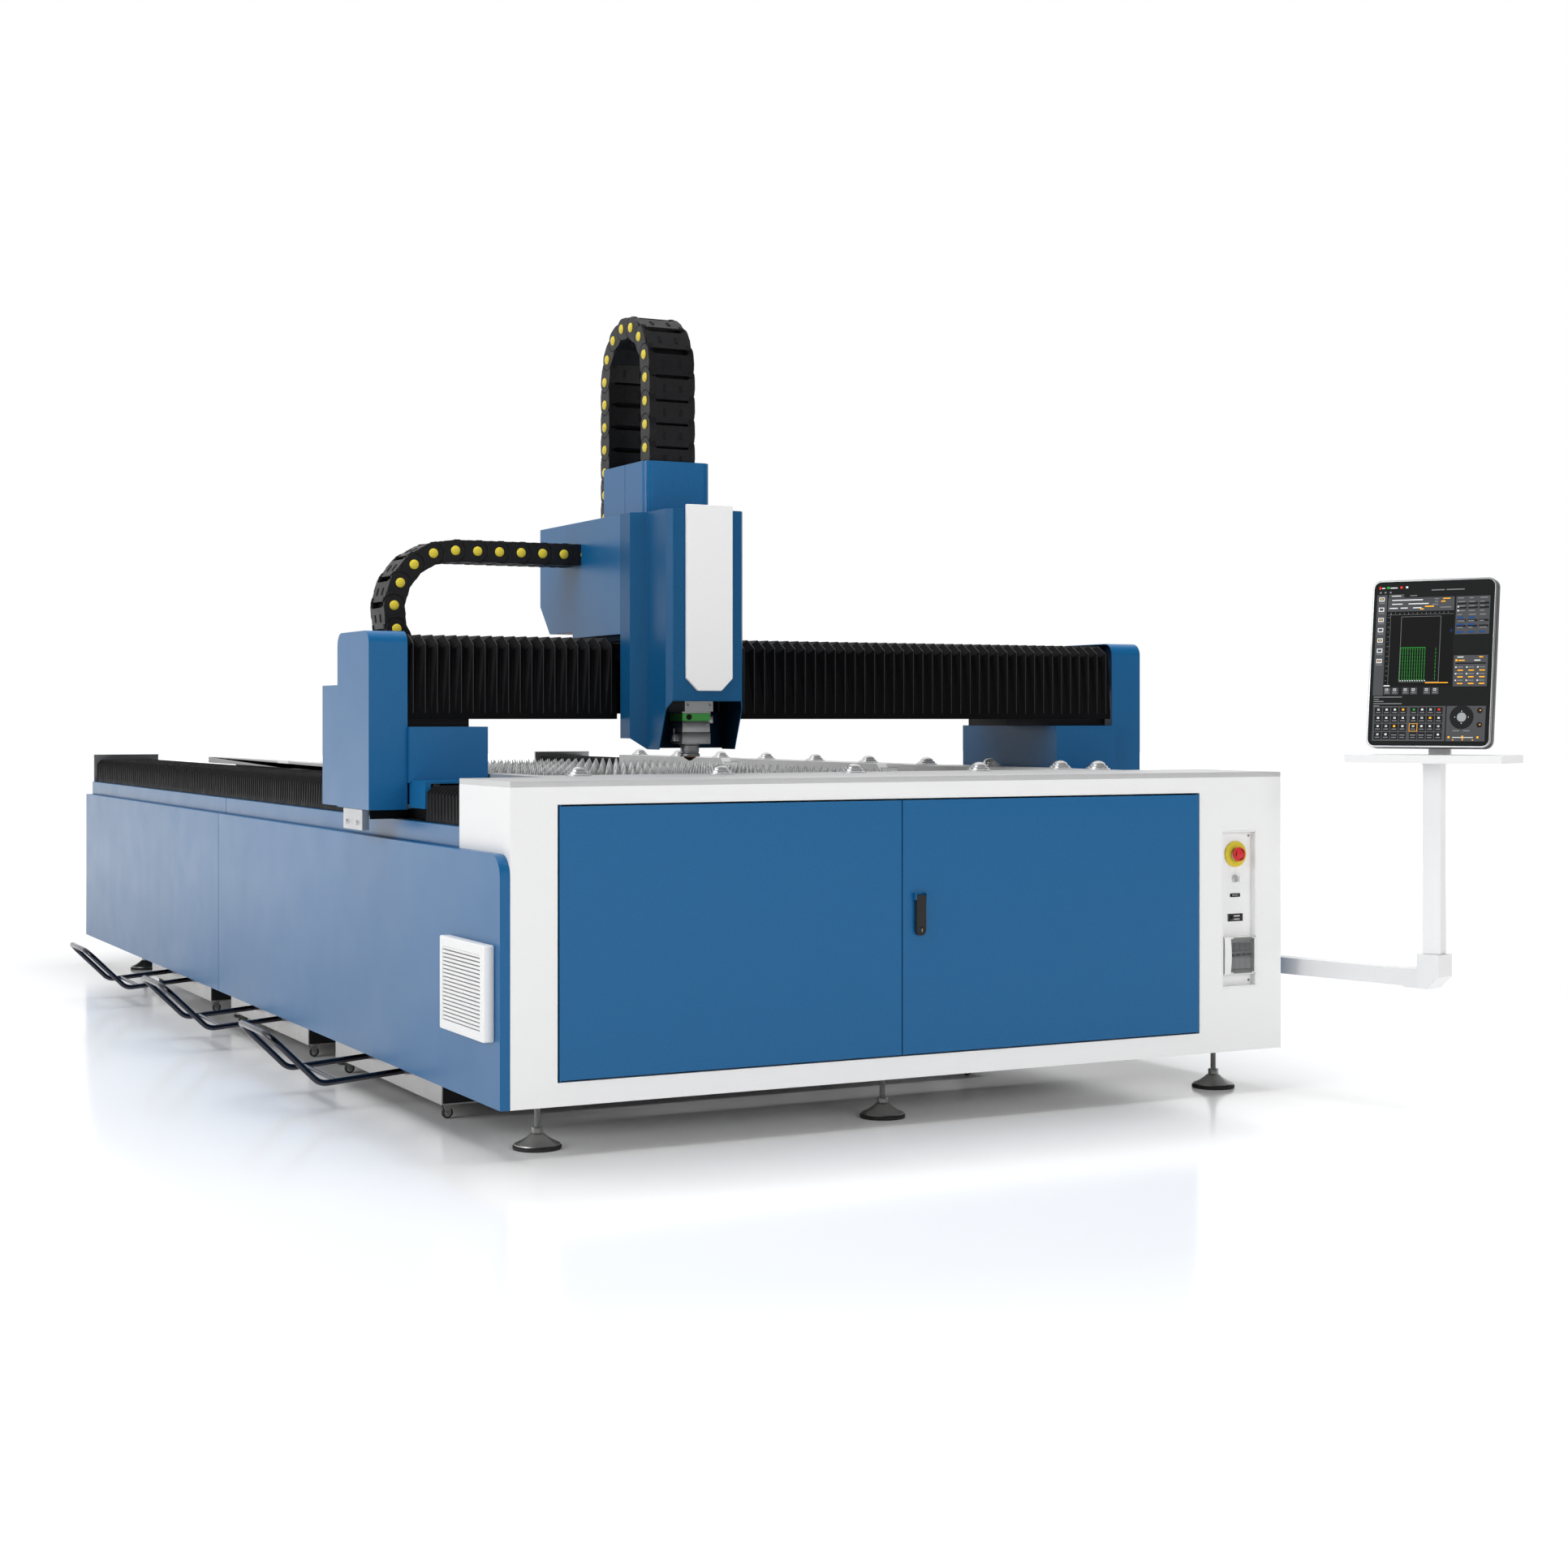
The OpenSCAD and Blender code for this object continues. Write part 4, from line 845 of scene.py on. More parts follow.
COVERS = {  # node: width of the rounding on its edges and its finish
    "front_cabinet": (0.0025, white_paint), "body_panels": (0.0015, blue_paint),
    "rail_covers": (0.0015, blue_paint), "door_left": (0.0015, blue_paint),
    "door_right": (0.0015, blue_paint), "end_cover_left": (0.004, blue_paint),
    "end_cover_right": (0.004, blue_paint), "saddle_left": (0.0015, blue_paint),
    "saddle_right": (0.0015, blue_paint), "head_cover": (0.0012, shaded_head_paint),
    "rear_cover": (0.0012, blue_paint), "top_covers": (0.0, blue_paint),
    "rack_brackets": (0.002, satin_aluminium), "front_plate": (0.002, white_paint),
    "table_plate": (0.001, table_steel), "rail_end_plates": (0.0015, plate_aluminium),
    "console_bracket": (0.002, white_paint), "control_panel": (0.001, white_paint),
    "console_arm": (0.004, white_paint), "console_post": (0.005, white_paint),
    "keyboard_shelf": (0.003, white_paint), "z_slide": (0.001, satin_aluminium),
}
PLAIN = {
    "bed_frame": black_paint, "laser_source": source_paint, "slat_rack": table_steel,
    # The carriage plate gets the painted shade of the covers' inner faces
    "linear_rails": rail_steel, "gantry_beam": black_paint, "carriage_plate": shaded_paint,
    "power_key": chrome, "breaker_box": white_plastic,
}


def build_covers():
    """Rounded copies for the covers, and finishes on the nodes that show as they are."""
    for node, (edge, make) in COVERS.items():
        piece = soft_copy(node, edge)
        dress(piece, make(), BODY_OF[node], SLOT_OF[node], node)
        if node == "head_cover":
            shade_inside(piece)
    for node, make in PLAIN.items():
        mesh = frame["nodes"][node].data
        mesh.materials.clear()
        mesh.materials.append(make())


def shade_inside(cover):
    """Paints shade on the faces that look into the head cover, and closes it below the plate with
    a dark back panel that is painted shade too.
    """
    low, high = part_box("head_cover")
    open_side, mouth = 0.03, 0.15
    middle = Vector(((low.x + high.x) / 2, high.y - open_side, 0))
    cover.data.materials.append(shaded_paint())
    for face in cover.data.polygons:
        out = face.center - middle
        inward = out.x * face.normal.x + out.y * face.normal.y < -0.004
        hidden = face.normal.z < -0.5 and face.center.z > low.z + mouth
        face.material_index = int(inward or hidden)
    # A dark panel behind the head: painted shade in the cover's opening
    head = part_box("cutting_head")[1]
    front_low, front_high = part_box("front_plate")
    left_reach, right_reach, thick = 0.030, 0.052, 0.002
    back = block("head_back_shade", (front_low.x - left_reach, head.y + thick, low.z + 0.003),
                 (front_high.x + right_reach, head.y + 2 * thick, head.z - thick), 0.0005)
    dress(back, shaded_paint(), "carriage", SLOT_OF["head_cover"])


# Bellows

def pleated_skin(name, section, axis, start, end, pitch, scale, centre, hem):
    """A skin of pleats: the section above the hem is drawn in at each valley."""
    count = max(2, round(abs(end - start) / pitch))
    step = (end - start) / count
    skin = outline_object(name, section, axis, start, closed=False)
    w = plane_frame(axis)[2]
    middle = centre + w * start
    back = [1 / s for s in scale]
    flank, ridge = 0.47, 0.06
    with editing(skin):
        pull_above(skin, hem, scale, middle)
        for share, change in ((flank, back), (ridge, None), (flank, scale)):
            bpy.ops.mesh.extrude_region_move(
                TRANSFORM_OT_translate={"value": w * step * share})
            if change:
                pull_above(skin, hem, change, middle)
    skin.data.materials.append(bellows_cloth())
    skin.data.materials.append(bellows_ridge_highlight())
    # The flat ridges get the painted highlight, the flanks and the hem the cloth
    for face in skin.data.polygons:
        face.material_index = int(abs(face.normal.dot(w)) < 0.01 and face.center.z > hem)
    modify(skin, "ARRAY", count=count, use_relative_offset=False, use_constant_offset=True,
           constant_offset_displace=w * step, use_merge_vertices=True, merge_threshold=1e-4)
    outward(skin)
    return modify(skin, "SOLIDIFY", thickness=0.0012, offset=0)


def pull_above(skin, hem, scale, middle):
    """Scales the selected points above the hem about a middle, keeping the selection."""
    edit = bmesh.from_edit_mesh(skin.data)
    ring = [v for v in edit.verts if v.select]
    for vert in ring:
        vert.select = vert.co.z > hem + 1e-5
    edit.select_flush_mode()
    bmesh.update_edit_mesh(skin.data)
    bpy.ops.transform.resize(value=scale, center_override=middle)
    edit = bmesh.from_edit_mesh(skin.data)
    for vert in ring:
        vert.select = True
    for edge in [e for e in edit.edges if all(v.select for v in e.verts)]:
        edge.select = True
    bmesh.update_edit_mesh(skin.data)


def bed_bellows():
    """The bellows over both rails, each with a run before and behind its saddle."""
    for side, node in (("l", "y_bellows_left"), ("r", "y_bellows_right")):
        low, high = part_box(node)
        saddle_low, saddle_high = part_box("saddle_left")
        chamfer = 0.018
        hem = low.z + 0.004
        depth = sizes().pleat_depth
        section = [(low.x, low.z), (low.x, hem), (low.x, high.z - chamfer),
                   (low.x + chamfer, high.z), (high.x - chamfer, high.z),
                   (high.x, high.z - chamfer), (high.x, hem), (high.x, low.z)]
        centre = Vector(((low.x + high.x) / 2, 0, low.z))
        wide, tall = high.x - low.x, high.z - low.z
        scale = ((wide - 2 * depth) / wide, 1, (tall - depth) / tall)
        gap = 0.001
        runs = (("front", low.y, saddle_low.y - 0.003), ("rear", high.y, saddle_high.y + gap))
        for place, fixed, moving in runs:
            run = pleated_skin("bed_bellows_%s_%s" % (place, side), section, "y",
                               fixed, moving, sizes().bed_pleat, scale, centre, hem)
            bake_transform(run)
            dress(run, None, None, SLOT_OF[node], node)


def beam_bellows():
    """The beam's cover on both sides of the carriage, with an upright front and a hem."""
    low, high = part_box("x_bellows")
    carriage_low, carriage_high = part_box("head_cover")
    top_cut, lean, bottom_lip = 0.025, 0.045, 0.026
    hem = low.z + 0.016
    section = [(low.y + bottom_lip, low.z), (low.y, low.z), (low.y, hem),
               (low.y, high.z - top_cut), (low.y + lean, high.z), (high.y, high.z)]
    depth = sizes().beam_depth
    wide, tall = high.y - low.y, high.z - low.z
    centre = Vector((0, high.y, hem))
    scale = (1, (wide - depth) / wide, (tall - depth) / tall)
    gap = 0.001
    for place, fixed, moving in (("left", low.x, carriage_low.x - gap),
                                 ("right", high.x, carriage_high.x + gap)):
        run = pleated_skin("beam_bellows_" + place, section, "x", fixed, moving,
                           sizes().beam_pleat, scale, centre, hem)
        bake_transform(run)
        dress(run, None, None, SLOT_OF["x_bellows"], "x_bellows")


def skirt_shade_sheets():
    """Dark sheets of painted shade: strips under each saddle's skirt, and one before its bracket's
    arm.
    """
    inset, thick, rise, tall = 0.024, 0.006, 0.002, 0.096
    bracket_wall, lap, arm_shade_gap = 0.026, 0.036, 0.0005
    rail_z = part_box("linear_rails")[0].z
    arm_low, arm_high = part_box("rack_brackets")
    for name, side in (("left", -1), ("right", 1)):
        low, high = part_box("saddle_" + name)
        outer = low.x if side < 0 else high.x
        x = sorted((outer - side * (inset + thick), outer - side * inset))
        strip = block("strip", (x[0], low.y + 0.004, rail_z + rise),
                      (x[1], arm_low.y - 0.004, rail_z + rise + tall), 0.001)
        end = arm_low.x if side < 0 else arm_high.x
        x = sorted((end - side * bracket_wall, outer - side * lap))
        arm_shade = block("arm_shade", (x[0], arm_low.y - 0.003, rail_z + 0.001),
                      (x[1], arm_low.y - arm_shade_gap, arm_high.z - arm_shade_gap), 0.0005)
        shade_sheet = joined("skirt_shade_sheet_" + name, [strip, arm_shade])
        dress(shade_sheet, bellows_cloth(), "gantry", "bellows_cloth")


# Work bed

def support_slats():
    """Rows of toothed slats in two cuts of tooth, so that neighbours don't line up."""
    low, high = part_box("support_slats")
    tooth = 0.044
    count = round((high.x - low.x) / sizes().tooth_pitch)
    pitch = (high.x - low.x) / count
    root = high.z - tooth
    thick = 0.003
    kinds = []
    # Where a tooth starts to rise and where its tip is, in shares of its pitch
    for rise, tip in ((0.10, 0.42), (0.34, 0.80)):
        points = [(high.x, low.z), (low.x, low.z)]
        for i in range(count):
            x = low.x + i * pitch
            points += [(x, root), (x + rise * pitch, root), (x + tip * pitch, high.z)]
        points.append((high.x, root))
        kinds.append(prism("slat", points, "y", low.y, low.y + thick))
    step = (high.y - low.y - thick) / (sizes().slat_count - 1)
    slats = [moved_copy(kinds[i % 2], Matrix.Translation((0, i * step, 0)))
             for i in range(sizes().slat_count)]
    discard(*kinds)
    half = len(slats) // 2
    for k, part in enumerate((slats[:half], slats[half:])):
        rack = joined("slats_%d" % (k + 1), part)
        dress(rack, zinc_steel(), "machine_bed", SLOT_OF["support_slats"], "support_slats")


def unit_centres(node):
    """The centres in plan of a node's separate solids."""
    bm = bmesh.new()
    bm.from_mesh(frame["nodes"][node].data)
    bmesh.ops.remove_doubles(bm, verts=bm.verts, dist=1e-6)
    seen, centres = set(), []
    for start in bm.verts:
        if start.index in seen:
            continue
        stack, xs, ys = [start], [], []
        seen.add(start.index)
        while stack:
            v = stack.pop()
            xs.append(v.co.x)
            ys.append(v.co.y)
            for edge in v.link_edges:
                other = edge.other_vert(v)
                if other.index not in seen:
                    seen.add(other.index)
                    stack.append(other)
        centres.append(((min(xs) + max(xs)) / 2, (min(ys) + max(ys)) / 2))
    bm.free()
    return centres


def ball_units():
    """Ball transfer units: a flanged cup with three screws and a ball."""
    low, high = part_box("ball_units")
    tall = high.z - low.z
    profile = [(TINY, 0.0), (0.035, 0.0), (0.035, 0.003), (0.0335, 0.0045), (0.029, 0.005),
               (0.0285, 0.009), (0.027, 0.011), (0.0235, 0.0118), (0.0225, 0.0112)]
    ball_radius, base, screw_circle = profile[-1][0], 0.0112, 0.0315
    rise = tall - base
    profile += [(ball_radius * math.cos(t), base + rise * math.sin(t))
                for t in [math.radians(a) for a in range(8, 90, 9)]]
    profile.append((TINY, tall))
    unit = turned("ball_unit", profile, (0, 0, low.z), "z", 28)
    screws = []
    for a in (30, 150, 270):
        x, y = on_circle((0, 0), screw_circle, a)
        screws.append(rod("screw", (x, y, low.z + 0.004), (x, y, low.z + 0.0065), 0.0022, 8))
    unit = joined("ball_unit", [unit] + screws)
    units = [moved_copy(unit, Matrix.Translation((x, y, 0)))
             for x, y in unit_centres("ball_units")]
    discard(unit)
    dress(joined("ball_transfer_units", units), chrome(), "machine_bed",
          SLOT_OF["ball_units"], "ball_units")


def levelling_feet():
    """Feet with a rubber pad, a dished cone, a nut and a threaded stud."""
    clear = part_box("levelling_feet")[1].z
    pad = turned("pad", [(TINY, 0.0), (0.0585, 0.0), (0.060, 0.002), (0.060, 0.0075),
                         (0.0565, 0.009), (TINY, 0.009)], (0, 0, 0), "z", 36)
    cone = turned("cone", [(TINY, 0.009), (0.0555, 0.009), (0.057, 0.0105), (0.056, 0.013),
                           (0.040, 0.020), (0.026, 0.029), (0.018, 0.0365), (0.0165, 0.037),
                           (TINY, 0.037)], (0, 0, 0), "z", 36)
    nut = rod("nut", (0, 0, 0.037), (0, 0, 0.053), 0.0145, 6, 0.0008)
    stud = turned("stud", stud_profile(0.053, clear, 0.008), (0, 0, 0), "z", 16)
    upper = joined("foot", [cone, nut, stud])
    pads, uppers = [], []
    for x, y in unit_centres("levelling_feet"):
        pads.append(moved_copy(pad, Matrix.Translation((x, y, 0))))
        uppers.append(moved_copy(upper, Matrix.Translation((x, y, 0))))
    discard(pad, upper)
    slot = SLOT_OF["levelling_feet"]
    dress(joined("foot_pads", pads), rubber(), "machine_bed", slot, "levelling_feet")
    dress(joined("foot_studs", uppers), foot_steel(), "machine_bed", slot, "levelling_feet")


def stud_profile(z0, z1, radius):
    """A threaded stud's profile from a nut up to the machine."""
    pitch, depth = 0.003, 0.0009
    points = [(TINY, z0)]
    z = z0
    while z + pitch < z1:
        points += [(radius, z + 0.25 * pitch), (radius - depth, z + 0.75 * pitch)]
        z += pitch
    return points + [(radius, z1), (TINY, z1)]


# Cabinet details

def door_handle():
    """A flat lever with a round foot that holds the lock."""
    low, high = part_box("door_handle")
    cx = (low.x + high.x) / 2
    front = low.y
    r = (high.x - low.x) / 2
    z0 = low.z + r
    outline = [(cx - r, high.z), (cx - r, z0)]
    outline += [on_circle((cx, z0), r, a) for a in range(190, 360, 10)]
    outline += [(cx + r, z0), (cx + r, high.z)]
    lever = prism("lever", outline, "y", front, high.y, 0.0012)
    slot = SLOT_OF["door_handle"]
    lock = turned("lock", [(TINY, 0.0012), (0.0075, 0.0012), (0.0080, 0.0004),
                           (0.0088, 0.0004), (0.0095, 0.0012), (0.0102, 0.0)],
                  (cx, front, z0), "-y", 28)
    key_slot = block("key_slot", (cx - 0.0006, front - 0.0016, z0 - 0.004),
                     (cx + 0.0006, front, z0 + 0.004))
    dress(joined("door_lever", [lever, lock]), black_plastic(), "door_handle", slot,
          "door_handle")
    dress(key_slot, chrome(), "door_handle", slot)


def stop_button():
    """Yellow plate, collar and hollow red cap with its turn marks."""
    low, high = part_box("estop_base")
    cx, cz = (low.x + high.x) / 2, (low.z + high.z) / 2
    r = (high.x - low.x) / 2
    face = low.y
    plate = turned("plate", [(0.0115, -0.006), (r, -0.006), (r, -0.0005), (r - 0.0008, 0.0),
                             (r - 0.0045, 0.0), (r - 0.0052, -0.0006), (0.020, -0.0006),
                             (0.0195, 0.0), (0.0115, 0.0), (0.0115, -0.006)],
                   (cx, face, cz), "-y", 48)
    dress(plate, yellow_plastic(), "machine_bed", SLOT_OF["estop_base"], "estop_base")
    low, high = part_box("estop_button")
    tall = high.y - low.y
    cap = turned("cap", [(TINY, 0.0), (0.009, 0.0006), (0.0135, 0.0022), (0.017, 0.0016),
                         (0.0195, 0.0034), (0.020, 0.006), (0.0195, 0.0105),
                         (0.0185, 0.0128), (0.0179, 0.0125), (0.0179, 0.0070),
                         (0.011, 0.0070), (0.011, tall), (TINY, tall)],
                 (cx, low.y, cz), "y", 40)
    arrows = []
    for k in range(3):
        a0 = 120 * k + 20
        angles = range(a0, a0 + 61, 10)
        points = [on_circle((cx, cz), 0.0148, a) for a in angles]
        points += [on_circle((cx, cz), 0.0134, a) for a in reversed(angles)]
        arrows.append(prism("arrow", points, "y", low.y + 0.0006, low.y + 0.003))
    dress(cap, red_plastic(), "estop_button", SLOT_OF["estop_button"], "estop_button")
    collar = turned("stop_collar", [(0.0122, -0.001), (0.0172, -0.001), (0.0172, 0.003),
                                    (0.0160, 0.0042), (0.0122, 0.0042), (0.0122, -0.001)],
                    (cx, face, cz), "-y", 36)
    dress(collar, satin_aluminium(), "machine_bed", SLOT_OF["estop_base"])
    dress(joined("turn_marks", arrows), dark_inside(), "estop_button",
          SLOT_OF["estop_button"])


def panel_switches():
    """Lamp rocker, data socket, panel screws and the key's ring."""
    low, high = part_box("lamp_rocker")
    cx, cz = (low.x + high.x) / 2, (low.z + high.z) / 2
    back = low.y + 0.0065
    slot = SLOT_OF["lamp_rocker"]
    barrel = rod("barrel", (low.x, back, cz), (high.x, back, cz), 0.0063, 20)
    dress(barrel, black_plastic(), "lamp_rocker", slot, "lamp_rocker")
    cap = [(back, cz - 0.0058), (back - 0.0055, cz - 0.0052), (back - 0.0048, cz),
           (back - 0.0064, cz + 0.0052), (back, cz + 0.0058)]
    rocker = prism("rocker_cap", cap, "x", cx - 0.007, high.x - 0.002, 0.0006)
    dress(rocker, white_plastic(), "lamp_rocker", slot)
    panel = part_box("control_panel")
    face = panel[0].y + 0.020
    shell = block("rocker_frame", (cx - 0.026, face - 0.0032, cz - 0.011),
                  (cx + 0.026, face - 0.0002, cz + 0.011), 0.0008)
    hole = block("hole", (cx - 0.0175, face - 0.006, cz - 0.0072),
                 (cx + 0.0175, face + 0.002, cz + 0.0072))
    dress(cut(shell, hole), black_plastic(), "machine_bed", "black_plastic")
    usb_z = cz + 0.062
    # The socket's opening is dark as painted shade
    socket = block("usb_socket", (cx - 0.0172, face - 0.0026, usb_z - 0.005),
                   (cx + 0.0172, face - 0.0003, usb_z + 0.005), 0.0008)
    dress(socket, dark_inside(), "machine_bed", "black_plastic")
    tongue = block("usb_tongue", (cx - 0.011, face - 0.0031, usb_z - 0.001),
                   (cx + 0.011, face - 0.0024, usb_z + 0.0015), 0.0003)
    dress(tongue, grey_plastic(), "machine_bed", "white_plastic")
    screws = []
    for z in (panel[0].z + 0.016, panel[1].z - 0.016):
        x = panel[1].x - 0.012
        screws.append(turned("screw", [(TINY, 0.002), (0.0022, 0.002), (0.0035, 0.001),
                                       (0.0037, -0.0002), (TINY, -0.0002)],
                             (x, face, z), "-y", 16))
    dress(joined("panel_screws", screws), foot_steel(), "machine_bed", "rail_steel")
    key_low, key_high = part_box("power_key")
    kz = (key_low.z + key_high.z) / 2
    ring = turned("key_ring", [(0.0072, 0.0), (0.0105, 0.0), (0.0105, 0.0055),
                               (0.0095, 0.0068), (0.0072, 0.0068), (0.0072, 0.0)],
                  (cx, face, kz), "-y", 32)
    dress(ring, chrome(), "machine_bed", "bright_steel")


def breaker_details():
    """Breakers under a smoked lid with a white rim, and their toggles."""
    low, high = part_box("breaker_box")
    cx, cz = (low.x + high.x) / 2, (low.z + high.z) / 2
    slot = "white_plastic"
    count, margin, depth = 5, 0.006, 0.0095
    wide = high.x - low.x - 2 * margin
    pitch = wide / count
    x0 = low.x + margin
    bodies, marks = [], []
    for i in range(count):
        a, b = x0 + i * pitch + 0.0008, x0 + (i + 1) * pitch - 0.0008
        for z0, z1 in ((cz + 0.010, cz + 0.034), (cz - 0.040, cz - 0.012)):
            bodies.append(block("breaker", (a, high.y - depth, z0),
                                (b, high.y - 0.0055, z1), 0.0006))
        marks.append(rod("mark", ((a + b) / 2, high.y - 0.0105, cz - 0.030),
                         ((a + b) / 2, high.y - 0.009, cz - 0.030), 0.0018, 10))
    dress(joined("breaker_bodies", bodies), grey_plastic(), "machine_bed", slot)
    dress(joined("breaker_marks", marks), red_plastic(), "machine_bed", slot)
    low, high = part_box("breaker_cover")
    lid = prism("breaker_lid", rounded_outline((low.x, low.z), (high.x, high.z), 0.006), "y",
                low.y, high.y, 0.0008)
    dress(lid, clear_cover(), "breaker_cover", SLOT_OF["breaker_cover"], "breaker_cover")
    rim = [prism("side", [(low.y - 0.0005, low.z), (low.y - 0.0042, low.z + 0.03),
                          (low.y - 0.0050, (low.z + high.z) / 2), (low.y - 0.0042, high.z - 0.03),
                          (low.y - 0.0005, high.z), (low.y + 0.001, high.z),
                          (low.y + 0.001, low.z)], "x", low.x, low.x + 0.021, 0.0006),
           block("edge", (high.x - 0.0025, low.y - 0.0008, low.z),
                 (high.x, low.y + 0.001, high.z), 0.0004)]
    for z in (high.z - 0.0016, low.z):
        rim.append(block("edge", (low.x + 0.020, low.y - 0.0008, z),
                         (high.x, low.y + 0.001, z + 0.0016), 0.0004))
    for x0, x1 in ((low.x + 0.020, low.x + 0.030), (high.x - 0.010, high.x)):
        for z0, z1 in ((high.z - 0.005, high.z), (low.z, low.z + 0.005)):
            rim.append(block("tab", (x0, low.y - 0.0008, z0), (x1, low.y + 0.001, z1), 0.0004))
    dress(joined("breaker_rim", rim), white_plastic(), "breaker_cover",
          SLOT_OF["breaker_cover"])
    low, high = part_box("breaker_toggles")
    bar = rod("bar", (low.x, high.y - 0.004, cz), (high.x, high.y - 0.004, cz), 0.0038, 16)
    tips = []
    for i in range(count):
        mid = cx - wide / 2 + (i + 0.5) * pitch
        tips.append(block("tip", (mid - 0.0055, low.y, cz - 0.001),
                          (mid + 0.0055, high.y - 0.004, cz + 0.0045), 0.0008))
    slot = SLOT_OF["breaker_toggles"]
    dress(joined("toggle_tips", tips), black_plastic(), "breaker_toggles", slot)
    dress(bar, grey_plastic(), "breaker_toggles", slot, "breaker_toggles")


def vent_grille():
    """A frame with sloping fins over a grey back."""
    low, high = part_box("vent_grille")
    rim, lip = 0.024, 0.012
    outer = rounded_outline((low.y, low.z), (high.y, high.z), 0.006)
    case = prism("grille_case", outer, "x", low.x, high.x, 0.003, 3)
    hole = block("hole", (low.x - 0.01, low.y + rim, low.z + rim),
                 (low.x + lip, high.y - rim, high.z - rim))
    case = cut(case, hole)
    slot = SLOT_OF["vent_grille"]
    dress(smooth(case), white_paint(), "machine_bed", slot, "vent_grille")
    count = 19
    pitch = (high.z - low.z - 2 * rim) / count
    fin = [(low.x + 0.0012, 0.62 * pitch), (low.x + 0.0012, 0.0),
           (low.x + lip, -0.05 * pitch), (low.x + lip, 0.62 * pitch)]
    fins = []
    for i in range(count):
        z = low.z + rim + (i + 0.3) * pitch
        fins.append(prism("fin", [(x, z + dz) for x, dz in fin], "y", low.y + rim,
                          high.y - rim))
    dress(joined("grille_fins", fins), white_paint(), "machine_bed", slot)
    back = block("grille_back", (low.x + lip - 0.0005, low.y + rim, low.z + rim),
                 (low.x + lip + 0.0008, high.y - rim, high.z - rim))
    dress(back, grey_plastic(), "machine_bed", slot)


# Cable chains

CHAIN_THICK = 0.062


def chain_link(name, pitch, half, width):
    """One link along +X with its pins at 0 and pitch: side plates, lids and pin heads."""
    wall, inset, gap = 0.007, 0.0035, 0.0012

    def arc(cx, radius, a0, a1, steps=8):
        """Points of an arc about a pin."""
        return [on_circle((cx, 0), radius, a0 + (a1 - a0) * k / steps)
                for k in range(steps + 1)]

    plates = []
    cap = half - 0.001
    outer = arc(0, cap, 90, 270) + [(pitch * 0.42, -half)]
    outer += arc(pitch, cap + gap, 236, 124) + [(pitch * 0.42, half)]
    tongue = [(pitch * 0.3, -cap + 0.003)] + arc(pitch, cap - 0.003, -90, 90)
    tongue += [(pitch * 0.3, cap - 0.003)]
    for y, way in ((0, 1), (width, -1)):
        plates.append(prism("plate", outer, "y", min(y, y + way * wall),
                            max(y, y + way * wall), 0.0008, 1))
        plates.append(prism("tongue", tongue, "y", min(y + way * inset, y + way * 2 * wall),
                            max(y + way * inset, y + way * 2 * wall)))
    side, mid = 0.14 * width, pitch * 0.5
    core = block("cables", (-0.02 * pitch, wall * 2, -0.010),
                 (1.02 * pitch, width - wall * 2, 0.010))
    marks = [core]
    # Both faces of a lid, the outer one of them, and the shares of the pitch that the lid
    # and the strips beside it take
    for low_z, high_z, top, long, reach in (
            (half - 0.006, half - 0.0005, half - 0.0005, 0.80, 0.90),
            (-half + 0.0005, -half + 0.006, -half + 0.0005, 0.90, 1.0)):
        plates.append(block("lid", (mid - long * pitch / 2, side, low_z),
                            (mid + long * pitch / 2, width - side, high_z), 0.001, 1))
        for y0, y1 in ((wall * 0.6, side + 0.001), (width - side - 0.001, width - wall * 0.6)):
            plates.append(block("strip", (mid - reach * pitch / 2, y0, low_z),
                                (mid + reach * pitch / 2, y1, high_z)))
            # Notches and catches: dark blocks of painted shade in the lids' slots
            marks.append(block("notch", (mid + reach * pitch / 2 - 0.016, (y0 + y1) / 2 - 0.006,
                                         top - 0.0016),
                               (mid + reach * pitch / 2, (y0 + y1) / 2 + 0.006,
                                top + 0.0006)))
        for share in (0.30, 0.66):
            marks.append(block("catch", (mid - 0.011, width * share, top - 0.0016),
                               (mid + 0.011, width * share + 0.0075, top + 0.0006)))
    for piece in plates:
        piece.data.materials.append(chain_plastic())
    for piece in marks:
        piece.data.materials.append(dark_inside())
    link = joined(name, plates + marks)
    r = sizes().pin_radius
    pins = []
    for y, way in ((0.0, "-y"), (width, "y")):
        pins.append(turned("pin", [(r, -0.001), (r, 0.001), (r * 0.86, 0.0034),
                                   (r * 0.5, 0.005), (TINY, 0.0055)],
                           (0, y, 0), way, 20))
    return link, joined(name + "_pins", pins)


def laid_links(name, link, pins, places, to_world):
    """Copies a link between each two pin places and joins the copies."""
    bodies, heads = [], []
    for a, b in zip(places, places[1:]):
        turn = math.atan2(b[1] - a[1], b[0] - a[0])
        move = to_world @ Matrix.Translation((a[0], 0, a[1])) @ Matrix.Rotation(-turn, 4, "Y")
        bodies.append(moved_copy(link, move))
        heads.append(moved_copy(pins, move))
    links = joined(name, bodies)
    dots = joined(name + "_pins", heads)
    if to_world.determinant() < 0:
        outward(links)
        outward(dots)
    return links, dots


def hairpin(centre, out, along, radius, straight):
    """A path by its arc length: a straight run along a direction, a half turn about a centre
    from its outer side to the other, and the way back."""
    bend = math.pi * radius

    def path_at(s):
        """The place after a length of s."""
        if s < straight:
            aside, ahead = radius, s - straight
        elif s < straight + bend:
            t = (s - straight) / radius
            aside, ahead = radius * math.cos(t), radius * math.sin(t)
        else:
            aside, ahead = -radius, straight + bend - s
        return tuple(c + o * aside + a * ahead for c, o, a in zip(centre, out, along))

    return path_at


